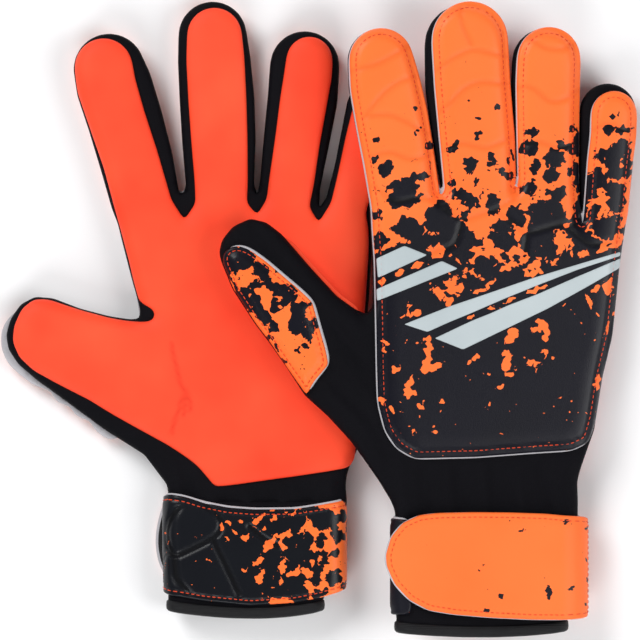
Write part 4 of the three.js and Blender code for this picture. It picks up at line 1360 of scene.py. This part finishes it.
straps = {}
linings = []
for glove in OUTLINES:
    palm_side = PALM_FACE[glove]
    wrap_outline = soft_outline(WRAP_CUT[glove], 0.9)
    flap_outline = soft_outline(FLAP_CUT[glove], 0.9)
    lines = STRAP_CELLS if glove == "left" else None
    on_palm = lay_round_wrist(glove, palm_side)
    on_back = lay_round_wrist(glove, -palm_side, runs_on=True)
    wrap_foam, wrap_skin = strap_pieces(f"{glove}_wrap", wrap_outline, WRAP_LIFT, on_palm, lines, (0.0, 0.7))
    flap_foam, flap_skin = strap_pieces(f"{glove}_flap", flap_outline, FLAP_LIFT, on_back, None, (-0.6, -0.1))
    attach(wrap_foam, f"{glove}_hand")
    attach(wrap_skin, f"{glove}_hand")
    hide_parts(f"{glove}_strap_wrap")
    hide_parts(f"{glove}_strap_flap")
    straps[glove] = {"wrap": wrap_skin, "flap": flap_skin, "wrap_outline": wrap_outline,
                     "flap_outline": flap_outline}
    lining_outline = inset(flap_outline, 0.5)

    def lining_faces(spots):
        inner = FLAP_LIFT - 0.7 * swell(edge_distance(spots, lining_outline), 0.5)
        return FLAP_LIFT + 0.4 + 0 * inner, inner

    lining = sew(f"{glove}_flap_lining", lining_outline, lining_faces, on_back, None, SKIN_STEP,
                 whole="layer")["layer"]
    linings.append(lining)
    root_run = CUFF[glove]["half_width"] - CUFF[glove]["half_height"] + 6
    bend_run = np.array([[root_run, FLAP_ROOT_Y], [root_run - FLAP_BEND, FLAP_ROOT_Y]])
    ends = on_back(bend_run, np.full(2, FLAP_BEND_HEIGHT), "hand")
    for piece in (flap_foam, flap_skin, lining):
        tuple(ends[0])
        tuple(ends[1])
        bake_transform(piece)
    for piece in (wrap_foam, flap_foam):
        piece.data.materials.append(white_foam)

wrap_print = printed_skin("printed_wrap", 6.0, gloss=0.24, cell="#11151A")
flap_print = printed_skin("printed_flap", 5.0, gloss=0.4)
straps["left"]["wrap"].data.materials.append(wrap_print)
straps["right"]["wrap"].data.materials.append(flap_print)
for glove in straps:
    straps[glove]["flap"].data.materials.append(flap_print)

plain_finish("black_flap_lining", linings, ("#060608", "#101014"), 0.4, (0.3, 0.45), 0.08,
             loop=0.6, roughness=0.6, specular=0.3)

# Hook and loop tape between the flap and the cuff: hooks sewn to the flap, loops to the cuff.
TAPE_CUT = {
    "left": [(-32, -88), (24, -88), (24, -116), (-32, -116)],
    "right": [(-32, -94), (24, -94), (24, -124), (-32, -124)],
}
tapes = {"hook": [], "loop": []}
for glove in OUTLINES:
    put = lay_round_wrist(glove, -PALM_FACE[glove], runs_on=True)
    for kind, low, body in (("loop", 0.3, "hand"), ("hook", 1.7, "strap")):
        tape_outline = soft_outline(TAPE_CUT[glove], 1.6)

        def faces(spots):
            distance = edge_distance(spots, tape_outline)
            return low + 0.35 + 0.6 * swell(distance, 0.9), low + 0 * distance

        tape = sew(f"{glove}_{kind}_tape", tape_outline, faces, put, None, 2.2, whole="patch")["patch"]
        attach(tape, f"{glove}_{body}")
        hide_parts(f"{glove}_{kind}_patch")
        tapes[kind].append(tape)

for kind, size, depth, tint in (("hook", 1.1, 0.5, "#1A1A1E"), ("loop", 0.7, 0.35, "#0F0F14")):
    tape_cloth, tree, shader, point = finish_coat(f"{kind}_tape_nylon", 0.7, sheen=0.3)
    nubs = pattern(tree, "ShaderNodeTexVoronoi", point, 1 / size, randomness=0.25 if kind == "hook" else 1.0)
    fine = use(tree, grain, point=point, size=0.3)
    bump = sum_node(tree, "SUBTRACT", fine.outputs["Height"], nubs.outputs["Distance"])
    tone = blend_colours(tree, nubs.outputs["Distance"], colour("#303036"), colour(tint))
    tree.links.new(tone, shader.inputs["Base Color"])
    rough = sum_node(tree, "MULTIPLY_ADD", fine.outputs["Height"], 0.3, 0.55)
    tree.links.new(rough, shader.inputs["Roughness"])
    raise_surface(tree, shader, bump, depth)
    for tape in tapes[kind]:
        tape.data.materials.append(tape_cloth)

# ---------------------------------------------------------------------------
# Stitching. One row of red-orange lock stitches runs inside the edge of each printed
# back, thumb panel and strap, pressed into its groove. Each stitch is one short thread.
STITCH_PITCH = 2.4
STITCH_LENGTH = 1.9
STITCH_HALF_WIDTH = 0.24
STITCH_HEIGHT = 0.5
THUMB_STITCH = 1.9
HIDDEN_WRAP_END = -30
FINGER_HALF = {"index": 17.5, "middle": 18.5, "ring": 16.5, "little": 12.6}


def stitch_row(outline, amount):
    """Middles and directions of stitches at a distance inside an outline."""
    row = inset(outline, amount, STITCH_PITCH, 0.6)
    run = np.roll(row, -1, axis=0) - np.roll(row, 1, axis=0)
    return row, run / np.hypot(*run.T)[:, None]


def stitches(name, row, run, height_at, put, part="hand"):
    """All the stitches of a row as one piece: each a thread, round in the middle, that dips at both ends."""
    side = np.stack([-run[:, 1], run[:, 0]], axis=1)
    stations = [(-0.5, 0.0, -0.1), (-0.3, 1.0, 0.7), (0.3, 1.0, 0.7), (0.5, 0.0, -0.1)]
    flat = []
    lift = []
    for along, width, rise in stations:
        for across, up in ((0, rise),) if width == 0 else ((1, 0.15), (0, 1.0), (-1, 0.15), (0, -0.6)):
            flat.append(row + run * along * STITCH_LENGTH + side * across * STITCH_HALF_WIDTH)
            lift.append(up * STITCH_HEIGHT)
    corners = len(flat)
    flat = np.stack(flat, axis=1).reshape(-1, 2)
    places = put(flat, height_at(flat, np.tile(lift, len(row))), part)
    caps = [(0, 1 + k, 1 + (k + 1) % 4) for k in range(4)] + [(9, 5 + (k + 1) % 4, 5 + k) for k in range(4)]
    sides = [(1 + k, 5 + k, 5 + (k + 1) % 4, 1 + (k + 1) % 4) for k in range(4)]
    faces = [tuple(corner + corners * number for corner in face)
             for number in range(len(row)) for face in caps + sides]
    mesh = bpy.data.meshes.new(name)
    mesh.from_pydata(places.tolist(), [], faces)
    mesh.polygons.foreach_set("use_smooth", [True] * len(faces))
    piece = bpy.data.objects.new(name, mesh)
    scene.collection.objects.link(piece)
    face_out(piece)
    return piece


threads = []
for glove in OUTLINES:
    side = -PALM_FACE[glove]

    def on_back(flat, lift):
        base = skin_lift(glove, flat, back_outline[glove], back_lines[glove])
        return off_middle(glove, flat, side, base + lift)

    def on_thumb(flat, lift):
        return off_middle(glove, flat, side, skin_lift(glove, flat, thumb_outline[glove], None) + lift)

    row, run = stitch_row(back_outline[glove], STITCH_INSET)
    owner = np.zeros(len(row), int)
    for number, finger in enumerate(FINGERS, start=1):
        origin, along = (np.array(value) for value in SEAMS[glove][finger])
        ahead = (row - origin) @ along
        sideways = np.abs((row - origin) @ np.array([-along[1], along[0]]))
        owner[(ahead > 0) & (sideways < FINGER_HALF[finger])] = number
    for number, part in enumerate(("hand", *FINGERS)):
        chosen = owner == number
        thread = stitches(f"{glove}_back_stitches_{part}", row[chosen], run[chosen], on_back,
                          lay_on_glove(glove), part)
        bend(thread, glove, part)
        threads.append(thread)
    row, run = stitch_row(thumb_outline[glove], THUMB_STITCH)
    thread = stitches(f"{glove}_back_stitches_thumb", row, run, on_thumb, lay_on_glove(glove), "thumb")
    bend(thread, glove, "thumb")
    threads.append(thread)
    for kind, face, runs_on, start in (("wrap", -side, False, WRAP_LIFT), ("flap", side, True, FLAP_LIFT)):
        outline = straps[glove][f"{kind}_outline"]
        lines = STRAP_CELLS if (glove, kind) == ("left", "wrap") else None

        def on_strap(flat, lift):
            return start + strap_lift(flat, outline, lines) + lift

        row, run = stitch_row(outline, STRAP_STITCH)
        if (glove, kind) == ("right", "wrap"):
            seen = row[:, 0] > HIDDEN_WRAP_END
            row, run = row[seen], run[seen]
        thread = stitches(f"{glove}_{kind}_stitches", row, run, on_strap,
                          lay_round_wrist(glove, face, runs_on))
        if kind == "wrap":
            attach(thread, f"{glove}_hand")
        else:
            root_run = CUFF[glove]["half_width"]
            bend_run = np.array([[root_run, FLAP_ROOT_Y], [root_run - FLAP_BEND, FLAP_ROOT_Y]])
            ends = lay_round_wrist(glove, face, True)(bend_run, np.full(2, FLAP_BEND_HEIGHT), "hand")
            tuple(ends[0])
            tuple(ends[1])
            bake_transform(thread)
        threads.append(thread)

plain_finish("red_orange_thread", threads, ("#C93414", "#F2552C"), 0.2, (0.3, 0.4), 0.08,
             tone_from="Height", roughness=0.5, specular=0.3)
